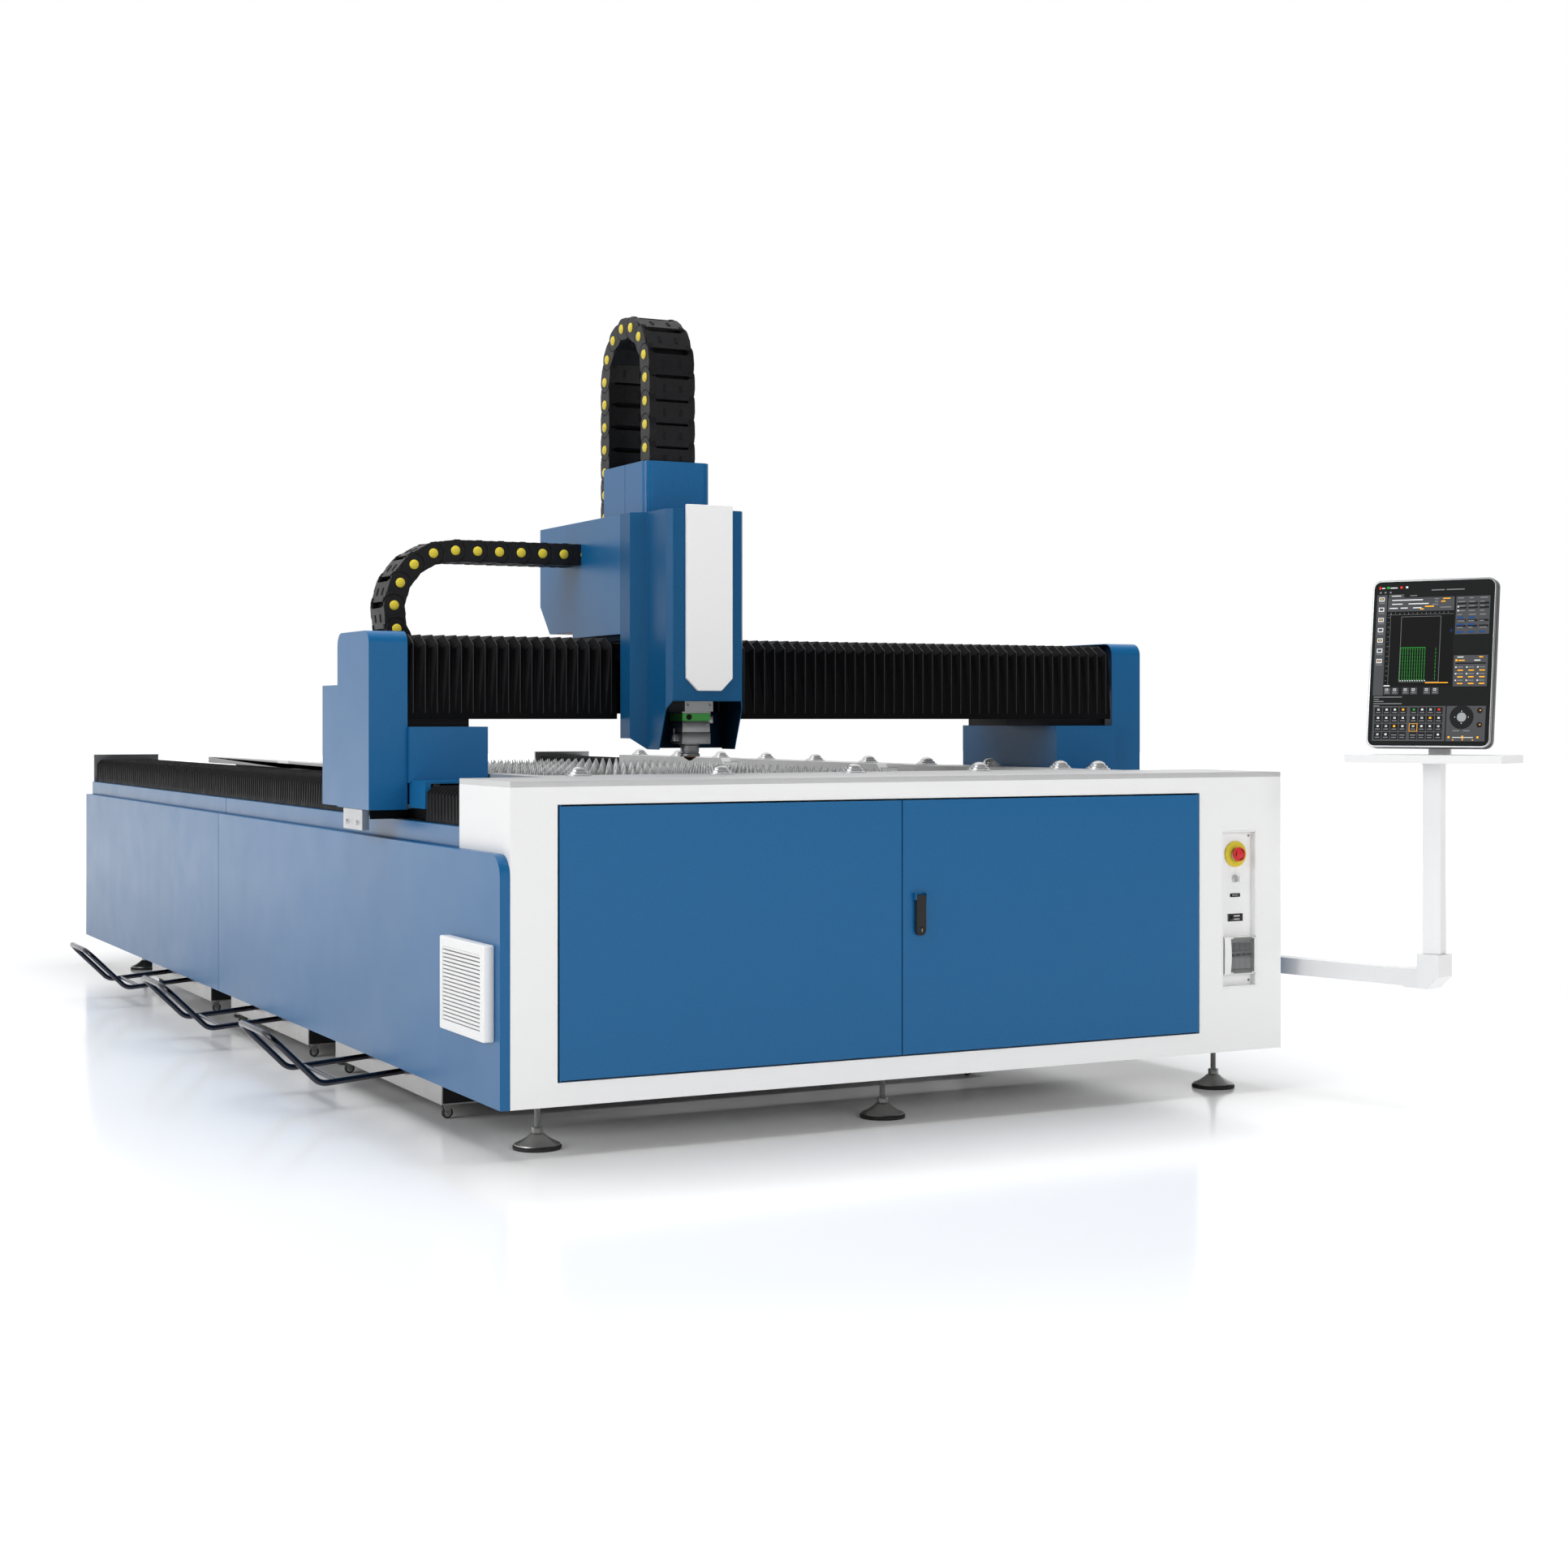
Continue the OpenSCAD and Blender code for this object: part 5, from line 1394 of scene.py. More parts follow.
def walk(path_at, length, pitch, start):
    """Pin places a fixed chord apart along a path given by its arc length."""
    places = [path_at(start)]
    s = start
    while s < length:
        step = s + pitch
        # Nears the place that is one pitch away in a straight line
        for _ in range(12):
            a, b = places[-1], path_at(step)
            step += pitch - math.hypot(b[0] - a[0], b[1] - a[1])
        if step > length:
            break
        places.append(path_at(step))
        s = step
    return places


def cross_chain():
    """The chain along the beam: upper run, rolling bend and lower run."""
    low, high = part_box("x_cable_chain")
    radius = (high.z - low.z - CHAIN_THICK) / 2
    centre_x, centre_z = low.x + radius + CHAIN_THICK / 2, (low.z + high.z) / 2
    start_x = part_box("rear_cover")[0].x + 0.10
    upper = start_x - centre_x
    lower_end = high.x
    path_at = hairpin((centre_x, centre_z), (0, 1), (-1, 0), radius, upper)
    total = upper + math.pi * radius + (lower_end - centre_x)
    pitch = sizes().chain_pitch
    places = walk(path_at, total, pitch, 0.022)
    level = 1e-4
    on_upper = [i for i, p in enumerate(places) if p[1] > centre_z + radius - level]
    on_lower = [i for i, p in enumerate(places) if p[1] < centre_z - radius + level]
    a, b = on_upper[-1], on_lower[0]
    link, pins = chain_link("link", pitch, CHAIN_THICK / 2, high.y - low.y)
    world = Matrix.Translation((0, low.y, 0))
    # Each straight run with the two bodies and the start and end of a blend between them, which
    # are unpacked but not used; the lower run has half the carriage's travel at the bend, none at
    # its far end
    runs = (("upper", places[:a + 1], ("x_chain_loop", "carriage", centre_x, start_x - 0.12)),
            ("bend", places[a:b + 1], None),
            ("lower", places[b:], ("carriage", "gantry", 2 * centre_x - lower_end, lower_end)))
    for name, part, blended in runs:
        for piece, material in zip(laid_links("cross_chain_" + name, link, pins, part, world),
                                   (None, yellow_plastic())):
            if blended:
                first, second, start, end = blended
                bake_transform(piece)
            dress(piece, material, None if blended else "x_chain_loop",
                  SLOT_OF["x_cable_chain"], "x_cable_chain")
    discard(link, pins)


def upright_chain():
    """The chain that arches from the rear cover down to the head."""
    low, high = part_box("z_cable_chain")
    radius = (high.y - low.y - CHAIN_THICK) / 2
    centre_y, centre_z = (low.y + high.y) / 2, high.z - radius - CHAIN_THICK / 2
    rear_z, front_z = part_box("rear_cover")[1].z + 0.001, low.z + 0.005
    rear = centre_z - rear_z
    path_at = hairpin((centre_y, centre_z), (1, 0), (0, 1), radius, rear)
    total = rear + math.pi * radius + centre_z - front_z
    pitch = sizes().chain_pitch
    places = walk(path_at, total, pitch, 0.012)
    link, pins = chain_link("link", pitch, CHAIN_THICK / 2, high.x - low.x)
    turned_in = Matrix(((0, 1, 0, low.x), (1, 0, 0, 0), (0, 0, 1, 0), (0, 0, 0, 1)))
    pieces = laid_links("upright_chain", link, pins, places, turned_in)
    for piece, material in zip(pieces, (None, yellow_plastic())):
        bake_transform(piece)
        dress(piece, material, None, SLOT_OF["z_cable_chain"], "z_cable_chain")
    discard(link, pins)


# Cutting head

def cutting_head():
    """Stacked blocks with a green band, fittings, neck and nozzle."""
    low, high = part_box("cutting_head")
    nozzle_low, nozzle_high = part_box("nozzle")
    cx, cy = (nozzle_low.x + nozzle_high.x) / 2, (nozzle_low.y + nozzle_high.y) / 2
    half = 0.043
    base = low.z + 0.035
    slot = SLOT_OF["cutting_head"]
    # Bottom and top of each block over the base, and how far its sides are set back
    levels = ((0.0, 0.031, 0.0), (0.0318, 0.0595, 0.001), (0.0603, 0.0625, 0.0025),
              (0.0845, high.z - base, 0.0))
    stack = [block("stage", (cx - half + inset, cy - half + inset, base + z0),
                   (cx + half - inset, cy + half - inset, base + z1), 0.0012)
             for z0, z1, inset in levels]
    neck = turned("neck", [(0.007, 0.004), (0.0265, 0.0), (0.0285, 0.002), (0.0285, 0.0075),
                           (0.0245, 0.010), (0.0245, 0.0125), (0.026, 0.014),
                           (0.026, 0.030), (0.030, 0.0335), (0.030, 0.036), (0.007, 0.036),
                           (0.007, 0.004)], (cx, cy, low.z), "z", 40)
    side = block("connector", (cx + half - 0.001, cy - 0.030, base + 0.057),
                 (cx + half + 0.0145, cy - 0.008, base + 0.078), 0.0012)
    post = rod("post", (cx + half + 0.008, cy - 0.019, base + 0.077),
               (cx + half + 0.008, cy - 0.019, base + 0.0895), 0.004, 14)
    valve = block("valve", (cx - half - 0.0155, cy - 0.020, base + 0.007),
                  (cx - half + 0.001, cy + 0.004, base + 0.027), 0.0012)
    stem = rod("stem", (cx - half - 0.009, cy - 0.008, base + 0.026),
               (cx - half - 0.009, cy - 0.008, base + 0.0425), 0.002, 10)
    knob = rod("knob", (cx - half - 0.006, cy - 0.0245, base + 0.012),
               (cx - half - 0.006, cy - 0.0195, base + 0.012), 0.004, 14)
    bolts = []
    for bx in (-0.034, 0.034):
        for bz in (0.006, 0.0535):
            bolts.append(turned("bolt", [(TINY, -0.0004), (0.0012, -0.0004), (0.0012, 0.0006),
                                         (0.0028, 0.0006), (0.003, 0.0), (0.003, -0.001)],
                                (cx + bx, cy - half, base + bz), "-y", 14))
    head = joined("cutting_head_body", stack + [neck, side, post, valve, stem, knob] + bolts)
    dress(smooth(head), satin_aluminium(), "z_axis", slot, "cutting_head")
    band = block("head_band", (cx - half + 0.0006, cy - half + 0.0006, base + 0.063),
                 (cx + half - 0.0006, cy + half - 0.0006, base + 0.084), 0.0008)
    dress(band, green_band(), "z_axis", slot)
    eye = turned("band_eye", [(TINY, 0.0004), (0.0065, 0.0004), (0.0072, 0.0012),
                              (0.0080, 0.0008), (0.0082, -0.0004)],
                 (cx - 0.022, cy - half, base + 0.074), "-y", 24)
    dress(eye, dark_inside(), "z_axis", slot)
    top = nozzle_high.z - nozzle_low.z
    ring = turned("nozzle_ring", [(0.010, top - 0.0032), (0.0160, top - 0.0032),
                                  (0.0168, top - 0.0020), (0.0168, top), (0.010, top),
                                  (0.010, top - 0.0032)], (cx, cy, nozzle_low.z), "z", 36)
    dress(ring, copper(), "z_axis", SLOT_OF["nozzle"], "nozzle")
    tip = turned("nozzle_tip", [(0.001, 0.0), (0.0032, 0.0), (0.0045, 0.0008),
                                (0.0155, top - 0.0034), (0.0155, top - 0.0028),
                                (0.001, top - 0.0028), (0.001, 0.0)],
                 (cx, cy, nozzle_low.z), "z", 36)
    dress(tip, dark_inside(), "z_axis", SLOT_OF["nozzle"], "nozzle")
    mount_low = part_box("z_slide")[0]
    screws = [turned("mount_screw", [(TINY, 0.0012), (0.0014, 0.0012), (0.0014, 0.0026),
                                     (0.0034, 0.0026), (0.0038, 0.0018), (0.0038, -0.0004)],
                     (cx + x, mount_low.y, mount_low.z + 0.018), "-y", 16)
              for x in (-0.033, 0.033)]
    dress(joined("mount_screws", screws), foot_steel(), "z_axis", slot)


# Scrap trays

TRAYS = (1, 2, 3)
CASTER_TOP, AXLE_Z = 0.0415, 0.0153


def scrap_trays():
    """Folded trays on four casters each."""
    floor_z, sheet, wall = 0.042, 0.003, 0.004
    inset_x, inset_y = 0.030, 0.042
    for i in TRAYS:
        node, body = "scrap_tray_%d" % i, "tray_%d" % i
        low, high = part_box(node)
        slot = SLOT_OF[node]
        tray = block("tray_%d_sheet" % i, (low.x, low.y, floor_z), high)
        # Sinks the top face, so that four walls and a bottom are left
        only(tray)
        bpy.ops.object.mode_set(mode="EDIT")
        bpy.ops.mesh.select_all(action="DESELECT")
        bpy.ops.object.mode_set(mode="OBJECT")
        for face in tray.data.polygons:
            face.select = face.normal.z > 0.9
        bpy.ops.object.mode_set(mode="EDIT")
        bpy.ops.mesh.inset(thickness=wall)
        bpy.ops.mesh.extrude_region_move(
            TRANSFORM_OT_translate={"value": (0, 0, floor_z + sheet - high.z)})
        bpy.ops.object.mode_set(mode="OBJECT")
        bevel(tray, 0.0012, 2)
        dress(tray, tray_steel(), body, slot, node)
        forks = [caster_fork(x, y) for x in (low.x + inset_x, high.x - inset_x)
                 for y in (low.y + inset_y, high.y - inset_y)]
        dress(joined("tray_%d_casters" % i, forks), foot_steel(), body, slot, node)
        # A black sheet on the tray's front face: painted shade
        front = block("tray_%d_front" % i, (low.x + wall, low.y - 0.0008, floor_z + wall),
                      (high.x - wall, low.y + 0.0006, high.z - wall), 0.0004)
        dress(front, black_paint(), body, slot)
        for side in ("left", "right"):
            wheel_pair("wheels_%s_%d" % (side, i))


def caster_fork(x, y):
    """A caster's top plate, swivel ring and fork."""
    top = CASTER_TOP
    plate = block("plate", (x - 0.020, y - 0.018, top - 0.002), (x + 0.020, y + 0.018, top),
                  0.0006)
    ring = turned("ring", [(TINY, 0.0), (0.013, 0.0), (0.0145, -0.002), (0.0145, -0.0035),
                           (TINY, -0.0035)], (x, y, top - 0.002), "z", 20)
    cheeks = []
    for side in (-1, 1):
        outline = [(x - 0.014, top - 0.005), (x + 0.008, top - 0.005), (x + 0.0055, 0.0135),
                   (x, 0.0095), (x - 0.0055, 0.0135)]
        y0 = y + side * 0.010 - 0.001
        cheeks.append(prism("cheek", outline, "y", y0, y0 + 0.002, 0.0005, 1))
    axle = rod("axle", (x, y - 0.0125, AXLE_Z), (x, y + 0.0125, AXLE_Z), 0.003, 14)
    nut = rod("axle_nut", (x, y - 0.0145, AXLE_Z), (x, y - 0.0115, AXLE_Z), 0.005, 6)
    return joined("fork", [plate, ring, axle, nut] + cheeks)


def wheel_pair(node):
    """A tray side's two wheels, each a tyre on a hub."""
    low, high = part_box(node)
    r = (high.z - low.z) / 2
    x, z = (low.x + high.x) / 2, (low.z + high.z) / 2
    tyres, hubs = [], []
    for y in (low.y + 0.007, high.y - 0.007):
        tyres.append(turned("tyre", [(0.0105, -0.0065), (r - 0.003, -0.0068), (r - 0.0008, -0.005),
                                     (r, -0.002), (r, 0.002), (r - 0.0008, 0.005),
                                     (r - 0.003, 0.0068), (0.0105, 0.0065),
                                     (0.0105, -0.0065)], (x, y, z), "y", 32))
        hubs.append(turned("hub", [(0.0031, -0.0068), (0.005, -0.0068), (0.0055, -0.005),
                                   (0.0108, -0.0045), (0.0108, 0.0045), (0.0055, 0.005),
                                   (0.005, 0.0068), (0.0031, 0.0068), (0.0031, -0.0068)],
                           (x, y, z), "y", 28))
    dress(joined(node + "_tyres", tyres), rubber(), BODY_OF[node], SLOT_OF[node], node)
    dress(joined(node + "_hubs", hubs), grey_plastic(), BODY_OF[node], SLOT_OF[node], node)


def tray_handles():
    """Bent tube handles with a cross bar."""
    r, margin = 0.0085, 0.0095
    for i in TRAYS:
        node = "tray_handle_%d" % i
        low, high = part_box(node)
        y0, y1 = low.y + margin, high.y - margin
        x_tray = high.x
        z_low, z_top = 0.070, high.z - margin
        x_top = low.x + margin
        x_bend = x_top + 0.140
        z_end = z_low + 0.019
        corners = [(x_tray, y0, z_end), (x_bend, y0, z_low), (x_top, y0, z_top),
                   (x_top, y1, z_top), (x_bend, y1, z_low), (x_tray, y1, z_end)]
        loop = tube("handle_loop", bent_path(corners, sizes().tube_bend), r)
        x_bar = x_bend + 0.045
        z_bar = z_low + (z_end - z_low) * (x_bar - x_bend) / (x_tray - x_bend)
        bar = tube("cross_bar", [(x_bar, y0, z_bar), (x_bar, y1, z_bar)], r * 0.8)
        piece = joined("tray_%d_handle" % i, [loop, bar])
        dress(piece, handle_steel(), BODY_OF[node], SLOT_OF[node], node)


# Console

def console_place():
    """The console head's pivot, its sideways direction and a point of the monitor's axis."""
    joints = {j["name"]: j for j in frame["record"]["behaviour"]["joints"]}
    pivot = Vector(joints["console_swivel"]["pos_m"])
    side = Vector(joints["monitor_tilt"]["axis"]).normalized()
    tilt = Vector(joints["monitor_tilt"]["pos_m"])
    return pivot, side, tilt


LAYERS = {  # height of each colour's tiles over the glass
    "panel": 0.0003, "window": 0.0005, "key": 0.0005, "soft": 0.0006, "line": 0.0010,
    "green": 0.0008, "orange": 0.0013, "red": 0.0008, "blue": 0.0008, "hole": 0.0012,
}
DIALS = (  # kind, place on the screen, radius and height
    ("key", 0.775, 0.830, 0.032, 0.0007), ("knob", 0.775, 0.830, 0.0125, 0.0010),
    ("key", 0.922, 0.790, 0.0075, 0.0007), ("key", 0.922, 0.876, 0.0075, 0.0007),
)


def monitor():
    """Case, rim, glass, drawn screen, arm and vents of the screen."""
    _, side, tilt = console_place()
    lean = math.radians(-8)
    up = Vector((0, 0, 1))
    away = up.cross(side)
    turn = Matrix((side, away, up)).transposed().to_4x4()
    world = Matrix.Translation(tilt) @ turn @ Matrix.Rotation(lean, 4, "X")
    wide, tall, deep = 0.338, 0.459, 0.036
    low_z, back = -0.229, -0.016
    front = back - deep
    w = wide / 2

    def placed(obj, material, *replaced):
        """Dresses a piece drawn about the monitor's axis."""
        obj.data.transform(world)
        return dress(obj, material, "monitor", SLOT_OF["monitor"], *replaced)

    outline = rounded_outline((-w, low_z), (w, low_z + tall), 0.022)
    case = prism("monitor_case", outline, "y", front + 0.004, back, 0.004, 3)
    placed(smooth(case), black_plastic(), "monitor")
    rim = prism("monitor_rim", outline, "y", front, front + 0.006, 0.0015)
    inner = rounded_outline((-w + 0.004, low_z + 0.004), (w - 0.004, low_z + tall - 0.004),
                            0.019)
    hole = prism("hole", inner, "y", front - 0.01, front + 0.012)
    placed(smooth(cut(rim, hole)), satin_aluminium())
    glass = prism("monitor_glass", inner, "y", front + 0.0015, front + 0.005)
    placed(glass, screen_paint("dark"))
    stem = block("monitor_arm", (-0.020, back - 0.001, -0.010), (0.020, 0.008, 0.010), 0.002)
    knuckle = rod("knuckle", (-0.0205, 0, 0), (0.0205, 0, 0), 0.011, 24, 0.001)
    placed(joined("monitor_arm", [stem, knuckle]), black_plastic())
    # The vents' slots are dark as painted shade
    vents = [block("vent", (-0.10 + k * 0.02, back - 0.0005, 0.12),
                   (-0.092 + k * 0.02, back + 0.0006, 0.17), 0.0003) for k in range(11)]
    placed(joined("monitor_vents", vents), dark_inside())
    face, frame_edge = front + 0.0015, 0.006

    def across(u):
        """The place of a share of the screen's width."""
        return -w + frame_edge + u * (wide - 2 * frame_edge)

    def down(v):
        """The place of a share of the screen's height."""
        return low_z + tall - frame_edge - v * (tall - 2 * frame_edge)

    for kind, boxes in screen_layout().items():
        lift = LAYERS[kind]
        tiles = [block("tile", (across(u0), face - lift, down(v1)),
                       (across(u1), face + 0.0004, down(v0))) for u0, v0, u1, v1 in boxes]
        placed(joined("screen_" + kind, tiles), screen_paint(kind))
    for kind, u, v, r, lift in DIALS:
        disc = turned("dial", [(TINY, -0.001), (r, -0.001), (r, lift - 0.0003),
                               (r - 0.0003, lift), (TINY, lift)],
                      (across(u), face, down(v)), "-y", 32)
        placed(disc, screen_paint(kind))


def screen_layout():
    """A control screen's windows, keys and drawn lines, as boxes of each colour in shares
    of the glass's width and height from its top left corner."""
    boxes = {kind: [] for kind in LAYERS}

    def put(kind, u, v, wide, tall):
        """One box by its top left corner and its size."""
        boxes[kind].append((u, v, u + wide, v + tall))

    def bars(kind, places):
        """Bars in place of words, all of one height."""
        for u, v, wide in places:
            put(kind, u, v, wide, 0.006)

    # Title row
    put("red", 0.035, 0.026, 0.014, 0.015)
    put("green", 0.100, 0.026, 0.024, 0.012)
    put("red", 0.215, 0.026, 0.018, 0.012)
    put("line", 0.262, 0.026, 0.018, 0.012)
    bars("line", ((0.058, 0.031, 0.026), (0.130, 0.031, 0.060)))
    bars("soft", ((0.480, 0.050, 0.110), (0.605, 0.050, 0.150)))
    for u in (0.040, 0.080, 0.125):
        put("soft", u, 0.056, 0.016, 0.010)
    # Column of icons
    put("panel", 0.020, 0.076, 0.085, 0.622)
    for k in range(7):
        v = 0.090 + 0.0635 * k
        put("line", 0.038, v, 0.046, 0.026)
        put("hole", 0.045, v + 0.005, 0.032, 0.015)
        put("line" if k % 2 else "orange", 0.055, v + 0.009, 0.012, 0.007)
        put("soft", 0.036, v + 0.034, 0.052, 0.005)
    # Rows over the drawing
    put("panel", 0.120, 0.074, 0.130, 0.020)
    put("line", 0.145, 0.082, 0.080, 0.005)
    put("soft", 0.300, 0.082, 0.060, 0.005)
    put("panel", 0.115, 0.096, 0.560, 0.084)
    bars("line", ((0.150, 0.108, 0.260), (0.150, 0.132, 0.090), (0.290, 0.132, 0.170),
                  (0.130, 0.157, 0.070), (0.225, 0.157, 0.060), (0.330, 0.157, 0.070)))
    bars("orange", ((0.580, 0.104, 0.060), (0.565, 0.121, 0.035), (0.430, 0.150, 0.075),
                    (0.390, 0.165, 0.030)))
    bars("soft", ((0.510, 0.104, 0.035), (0.510, 0.121, 0.030), (0.490, 0.138, 0.050),
                  (0.560, 0.157, 0.090)))
    # Drawing with its rulers, sheet and cut lines
    put("window", 0.115, 0.186, 0.560, 0.452)
    for k in range(14):
        put("soft", 0.145 + 0.037 * k, 0.188, 0.003, 0.008 if k % 2 else 0.014)
        put("soft", 0.118, 0.215 + 0.030 * k, 0.012 if k % 2 else 0.020, 0.002)
    put("soft", 0.118, 0.200, 0.555, 0.0015)
    put("soft", 0.142, 0.188, 0.0022, 0.448)
    for u, v, wide, tall in ((0.235, 0.213, 0.335, 0.002), (0.235, 0.613, 0.335, 0.002),
                             (0.235, 0.213, 0.003, 0.402), (0.567, 0.213, 0.003, 0.402)):
        put("soft", u, v, wide, tall)
    for k in range(11):
        for step in range(9):
            put("green", 0.240 + 0.0205 * k, 0.408 + 0.0225 * step, 0.0035, 0.0195)
        put("line", 0.245 + 0.0205 * k, 0.604, 0.008, 0.006)
    for step in range(9):
        put("green", 0.535, 0.408 + 0.0225 * step, 0.0035, 0.0150)
    put("green", 0.240, 0.403, 0.210, 0.003)
    put("orange", 0.460, 0.618, 0.190, 0.005)
    put("line", 0.110, 0.634, 0.050, 0.007)
    put("blue", 0.640, 0.303, 0.040, 0.002)
    put("blue", 0.659, 0.290, 0.002, 0.028)
    # Settings beside the drawing
    put("panel", 0.690, 0.096, 0.280, 0.232)
    for v in (0.104, 0.128, 0.154, 0.182, 0.206, 0.244, 0.284):
        for k in range(3):
            put("soft", 0.705 + 0.092 * k, v, 0.060 - 0.012 * ((k + int(v * 100)) % 3), 0.006)
    for v in (0.124, 0.150, 0.228, 0.262):
        for k in range(3):
            put("key", 0.700 + 0.092 * k, v + 0.010, 0.078, 0.013)
    for v in (0.222, 0.264, 0.310):
        for k in range(3 if v > 0.3 else 2):
            put("blue", 0.702 + 0.092 * k, v, 0.052, 0.010)
    put("line", 0.702, 0.156, 0.012, 0.009)
    put("line", 0.702, 0.180, 0.012, 0.009)
    # Values
    put("panel", 0.690, 0.456, 0.280, 0.188)
    put("orange", 0.705, 0.481, 0.016, 0.011)
    bars("orange", ((0.900, 0.464, 0.030), (0.730, 0.484, 0.050)))
    bars("line", ((0.720, 0.464, 0.050), (0.860, 0.484, 0.050)))
    put("key", 0.705, 0.500, 0.250, 0.009)
    for row in range(3):
        for k in range(3):
            u, v = 0.705 + 0.090 * k, 0.524 + 0.040 * row
            put("line", u, v, 0.012, 0.008)
            put("soft", u + 0.020, v + 0.001, 0.045, 0.005)
            put("orange", u + 0.020, v + 0.020, 0.045, 0.006)
    # Icons and messages under the drawing
    for u in (0.125, 0.192, 0.282, 0.350, 0.460, 0.530):
        put("panel", u - 0.012, 0.650, 0.056, 0.040)
        put("line", u + 0.002, 0.655, 0.022, 0.014)
        put("hole", u + 0.006, 0.658, 0.014, 0.008)
        put("soft", u - 0.004, 0.678, 0.034, 0.005)
    for k, wide in enumerate((0.240, 0.045, 0.085, 0.240, 0.050)):
        put("soft", 0.030, 0.704 + 0.0135 * k, wide, 0.005)
    # Keys
    put("panel", 0.030, 0.762, 0.610, 0.213)
    put("panel", 0.650, 0.762, 0.320, 0.213)
    for row in range(4):
        for col in range(8):
            u = 0.045 + 0.0700 * col + 0.020 * (col > 3)
            v = 0.770 + 0.0505 * row
            if (row, col) == (2, 4):
                for a, b, wide, tall in ((-0.003, -0.002, 0.068, 0.002),
                                         (-0.003, 0.043, 0.068, 0.002),
                                         (-0.003, -0.002, 0.003, 0.047),
                                         (0.062, -0.002, 0.003, 0.047)):
                    put("orange", u + a, v + b, wide, tall)
            put("key", u, v, 0.062, 0.043)
            kind = "orange" if (row * 5 + col * 3) % 7 == 2 else "line"
            kind = {(0, 4): "green", (0, 7): "red"}.get((row, col), kind)
            if row < 3 or col in (0, 1, 7):
                put(kind, u + 0.022, v + 0.008, 0.018, 0.011)
                if kind == "line":
                    put("key" if (row + col) % 3 else "hole", u + 0.026, v + 0.011, 0.009, 0.005)
            else:
                put("soft", u + 0.008, v + 0.014, 0.045, 0.006)
            put("soft", u + 0.010, v + 0.029, 0.040, 0.005)
    # Speed dial and slider
    for u, v in ((0.771, 0.791), (0.771, 0.864), (0.716, 0.827), (0.828, 0.827)):
        put("line", u, v, 0.007, 0.005)
    for v in (0.785, 0.871):
        put("orange", 0.922, v, 0.010, 0.007)
    bars("soft", ((0.705, 0.909, 0.055), (0.790, 0.909, 0.055)))
    put("orange", 0.668, 0.945, 0.015, 0.012)
    put("orange", 0.905, 0.945, 0.015, 0.012)
    put("line", 0.705, 0.950, 0.170, 0.004)
    put("orange", 0.782, 0.942, 0.012, 0.018)
    for u in (0.705, 0.785, 0.868):
        put("orange", u, 0.965, 0.010, 0.005)
    return {kind: found for kind, found in boxes.items() if found}


def console_details():
    """The white collar on the console's post."""
    pivot = console_place()[0]
    collar_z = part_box("console_post")[1].z
    collar = turned("post_collar", [(0.0255, -0.004), (0.0340, -0.004), (0.0350, -0.003),
                                    (0.0350, 0.0), (0.0255, 0.0), (0.0255, -0.004)],
                    (pivot.x, pivot.y, collar_z), "z", 36)
    dress(collar, white_paint(), "console_head", "black_plastic")


# Operators and the panel

class CUTTER_OT_stage(bpy.types.Operator):
    """Floor, surround, lamps and camera"""
    bl_idname = "cutter.stage"
    bl_label = "Stage"

    def execute(self, context):
        build_stage()
        return {"FINISHED"}


class CUTTER_OT_covers(bpy.types.Operator):
    """Painted covers and the frame's own steel"""
    bl_idname = "cutter.covers"
    bl_label = "Covers and frame"

    def execute(self, context):
        build_covers()
        return {"FINISHED"}


class CUTTER_OT_bellows(bpy.types.Operator):
    """Pleated bellows on the bed and on the beam"""
    bl_idname = "cutter.bellows"
    bl_label = "Bellows"

    def execute(self, context):
        bed_bellows()
        beam_bellows()
        skirt_shade_sheets()
        return {"FINISHED"}


class CUTTER_OT_bed(bpy.types.Operator):
    """Toothed slats, ball units and levelling feet"""
    bl_idname = "cutter.bed"
    bl_label = "Work bed and feet"

    def execute(self, context):
        support_slats()
        ball_units()
        levelling_feet()
        return {"FINISHED"}


class CUTTER_OT_controls(bpy.types.Operator):
    """Door lever, stop button, switches, breakers and the side grille"""
    bl_idname = "cutter.controls"
    bl_label = "Cabinet controls"

    def execute(self, context):
        door_handle()
        stop_button()
        panel_switches()
        breaker_details()
        vent_grille()
        return {"FINISHED"}


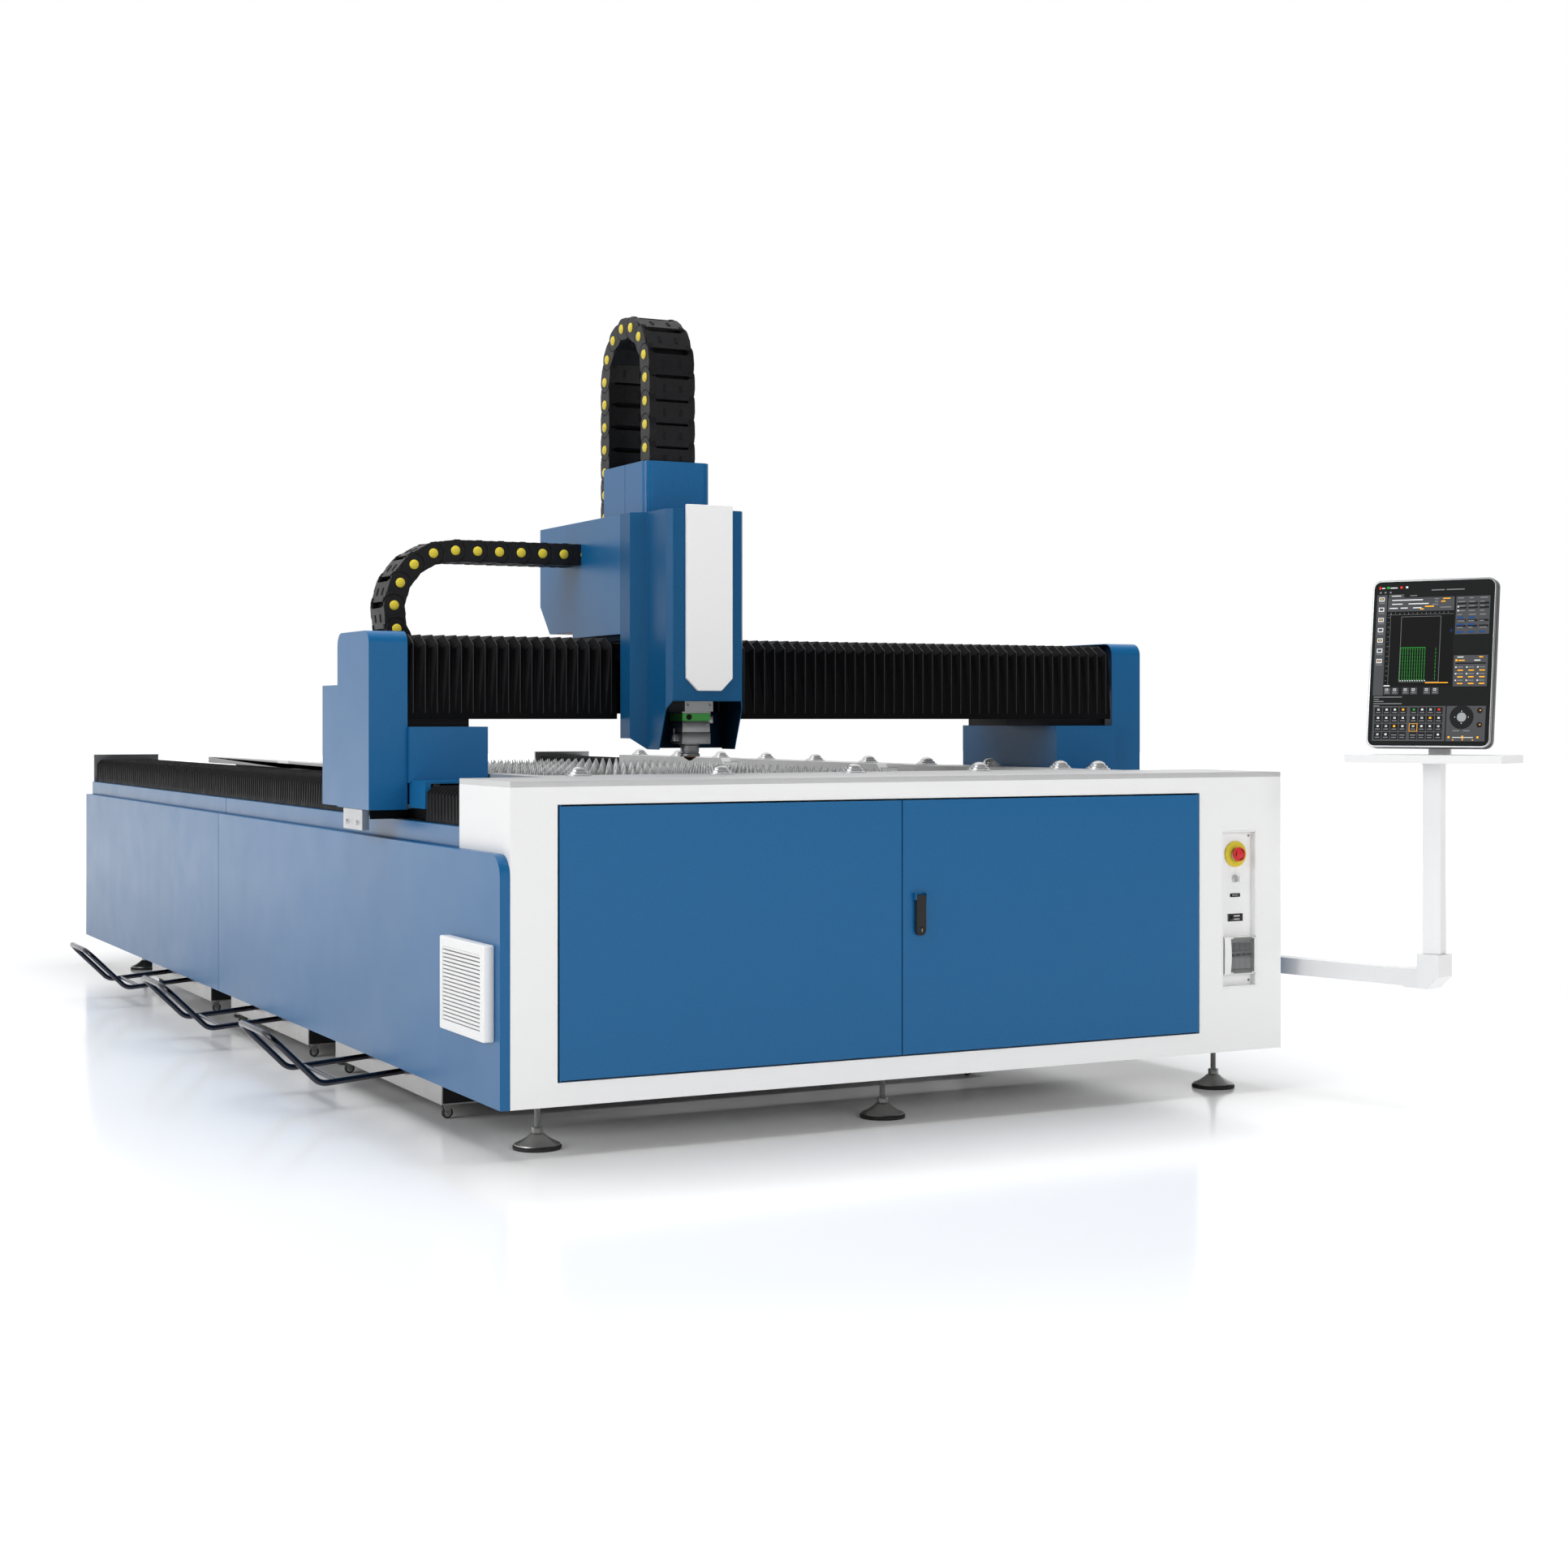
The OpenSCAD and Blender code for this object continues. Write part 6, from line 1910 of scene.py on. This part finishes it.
class CUTTER_OT_chains(bpy.types.Operator):
    """Both cable chains, link by link"""
    bl_idname = "cutter.chains"
    bl_label = "Cable chains"

    def execute(self, context):
        cross_chain()
        upright_chain()
        return {"FINISHED"}


class CUTTER_OT_head(bpy.types.Operator):
    """Cutting head and nozzle"""
    bl_idname = "cutter.head"
    bl_label = "Cutting head"

    def execute(self, context):
        cutting_head()
        return {"FINISHED"}


class CUTTER_OT_trays(bpy.types.Operator):
    """Scrap trays with casters and tube handles"""
    bl_idname = "cutter.trays"
    bl_label = "Scrap trays"

    def execute(self, context):
        scrap_trays()
        tray_handles()
        return {"FINISHED"}


class CUTTER_OT_console(bpy.types.Operator):
    """Screen and post details"""
    bl_idname = "cutter.console"
    bl_label = "Console"

    def execute(self, context):
        monitor()
        console_details()
        return {"FINISHED"}


STEPS = (CUTTER_OT_stage, CUTTER_OT_covers, CUTTER_OT_bellows, CUTTER_OT_bed,
         CUTTER_OT_controls, CUTTER_OT_chains, CUTTER_OT_head, CUTTER_OT_trays,
         CUTTER_OT_console)


class CUTTER_PT_panel(bpy.types.Panel):
    """Lists the machine's sizes, colours and building steps"""
    bl_idname = "CUTTER_PT_panel"
    bl_label = "Laser cutting machine"
    bl_space_type = "VIEW_3D"
    bl_region_type = "UI"
    bl_category = "Laser cutter"

    def draw(self, context):
        for group in (context.scene.cutter_sizes, context.scene.cutter_colours):
            for name in group.__annotations__:
                self.layout.prop(group, name)
        for step in STEPS:
            self.layout.operator(step.bl_idname)


CLASSES = (LaserCutterSizes, LaserCutterColours) + STEPS + (CUTTER_PT_panel,)


def register():
    """Makes the add-on known to Blender."""
    for cls in CLASSES:
        bpy.utils.register_class(cls)
    bpy.types.Scene.cutter_sizes = PointerProperty(type=LaserCutterSizes)
    bpy.types.Scene.cutter_colours = PointerProperty(type=LaserCutterColours)


def unregister():
    """Takes the add-on out again."""
    del bpy.types.Scene.cutter_colours
    del bpy.types.Scene.cutter_sizes
    for cls in reversed(CLASSES):
        bpy.utils.unregister_class(cls)


def main():
    """Builds every group in order."""
    register()
    for step in STEPS:
        group, name = step.bl_idname.split(".")
        getattr(getattr(bpy.ops, group), name)()


if __name__ == "__main__":
    main()
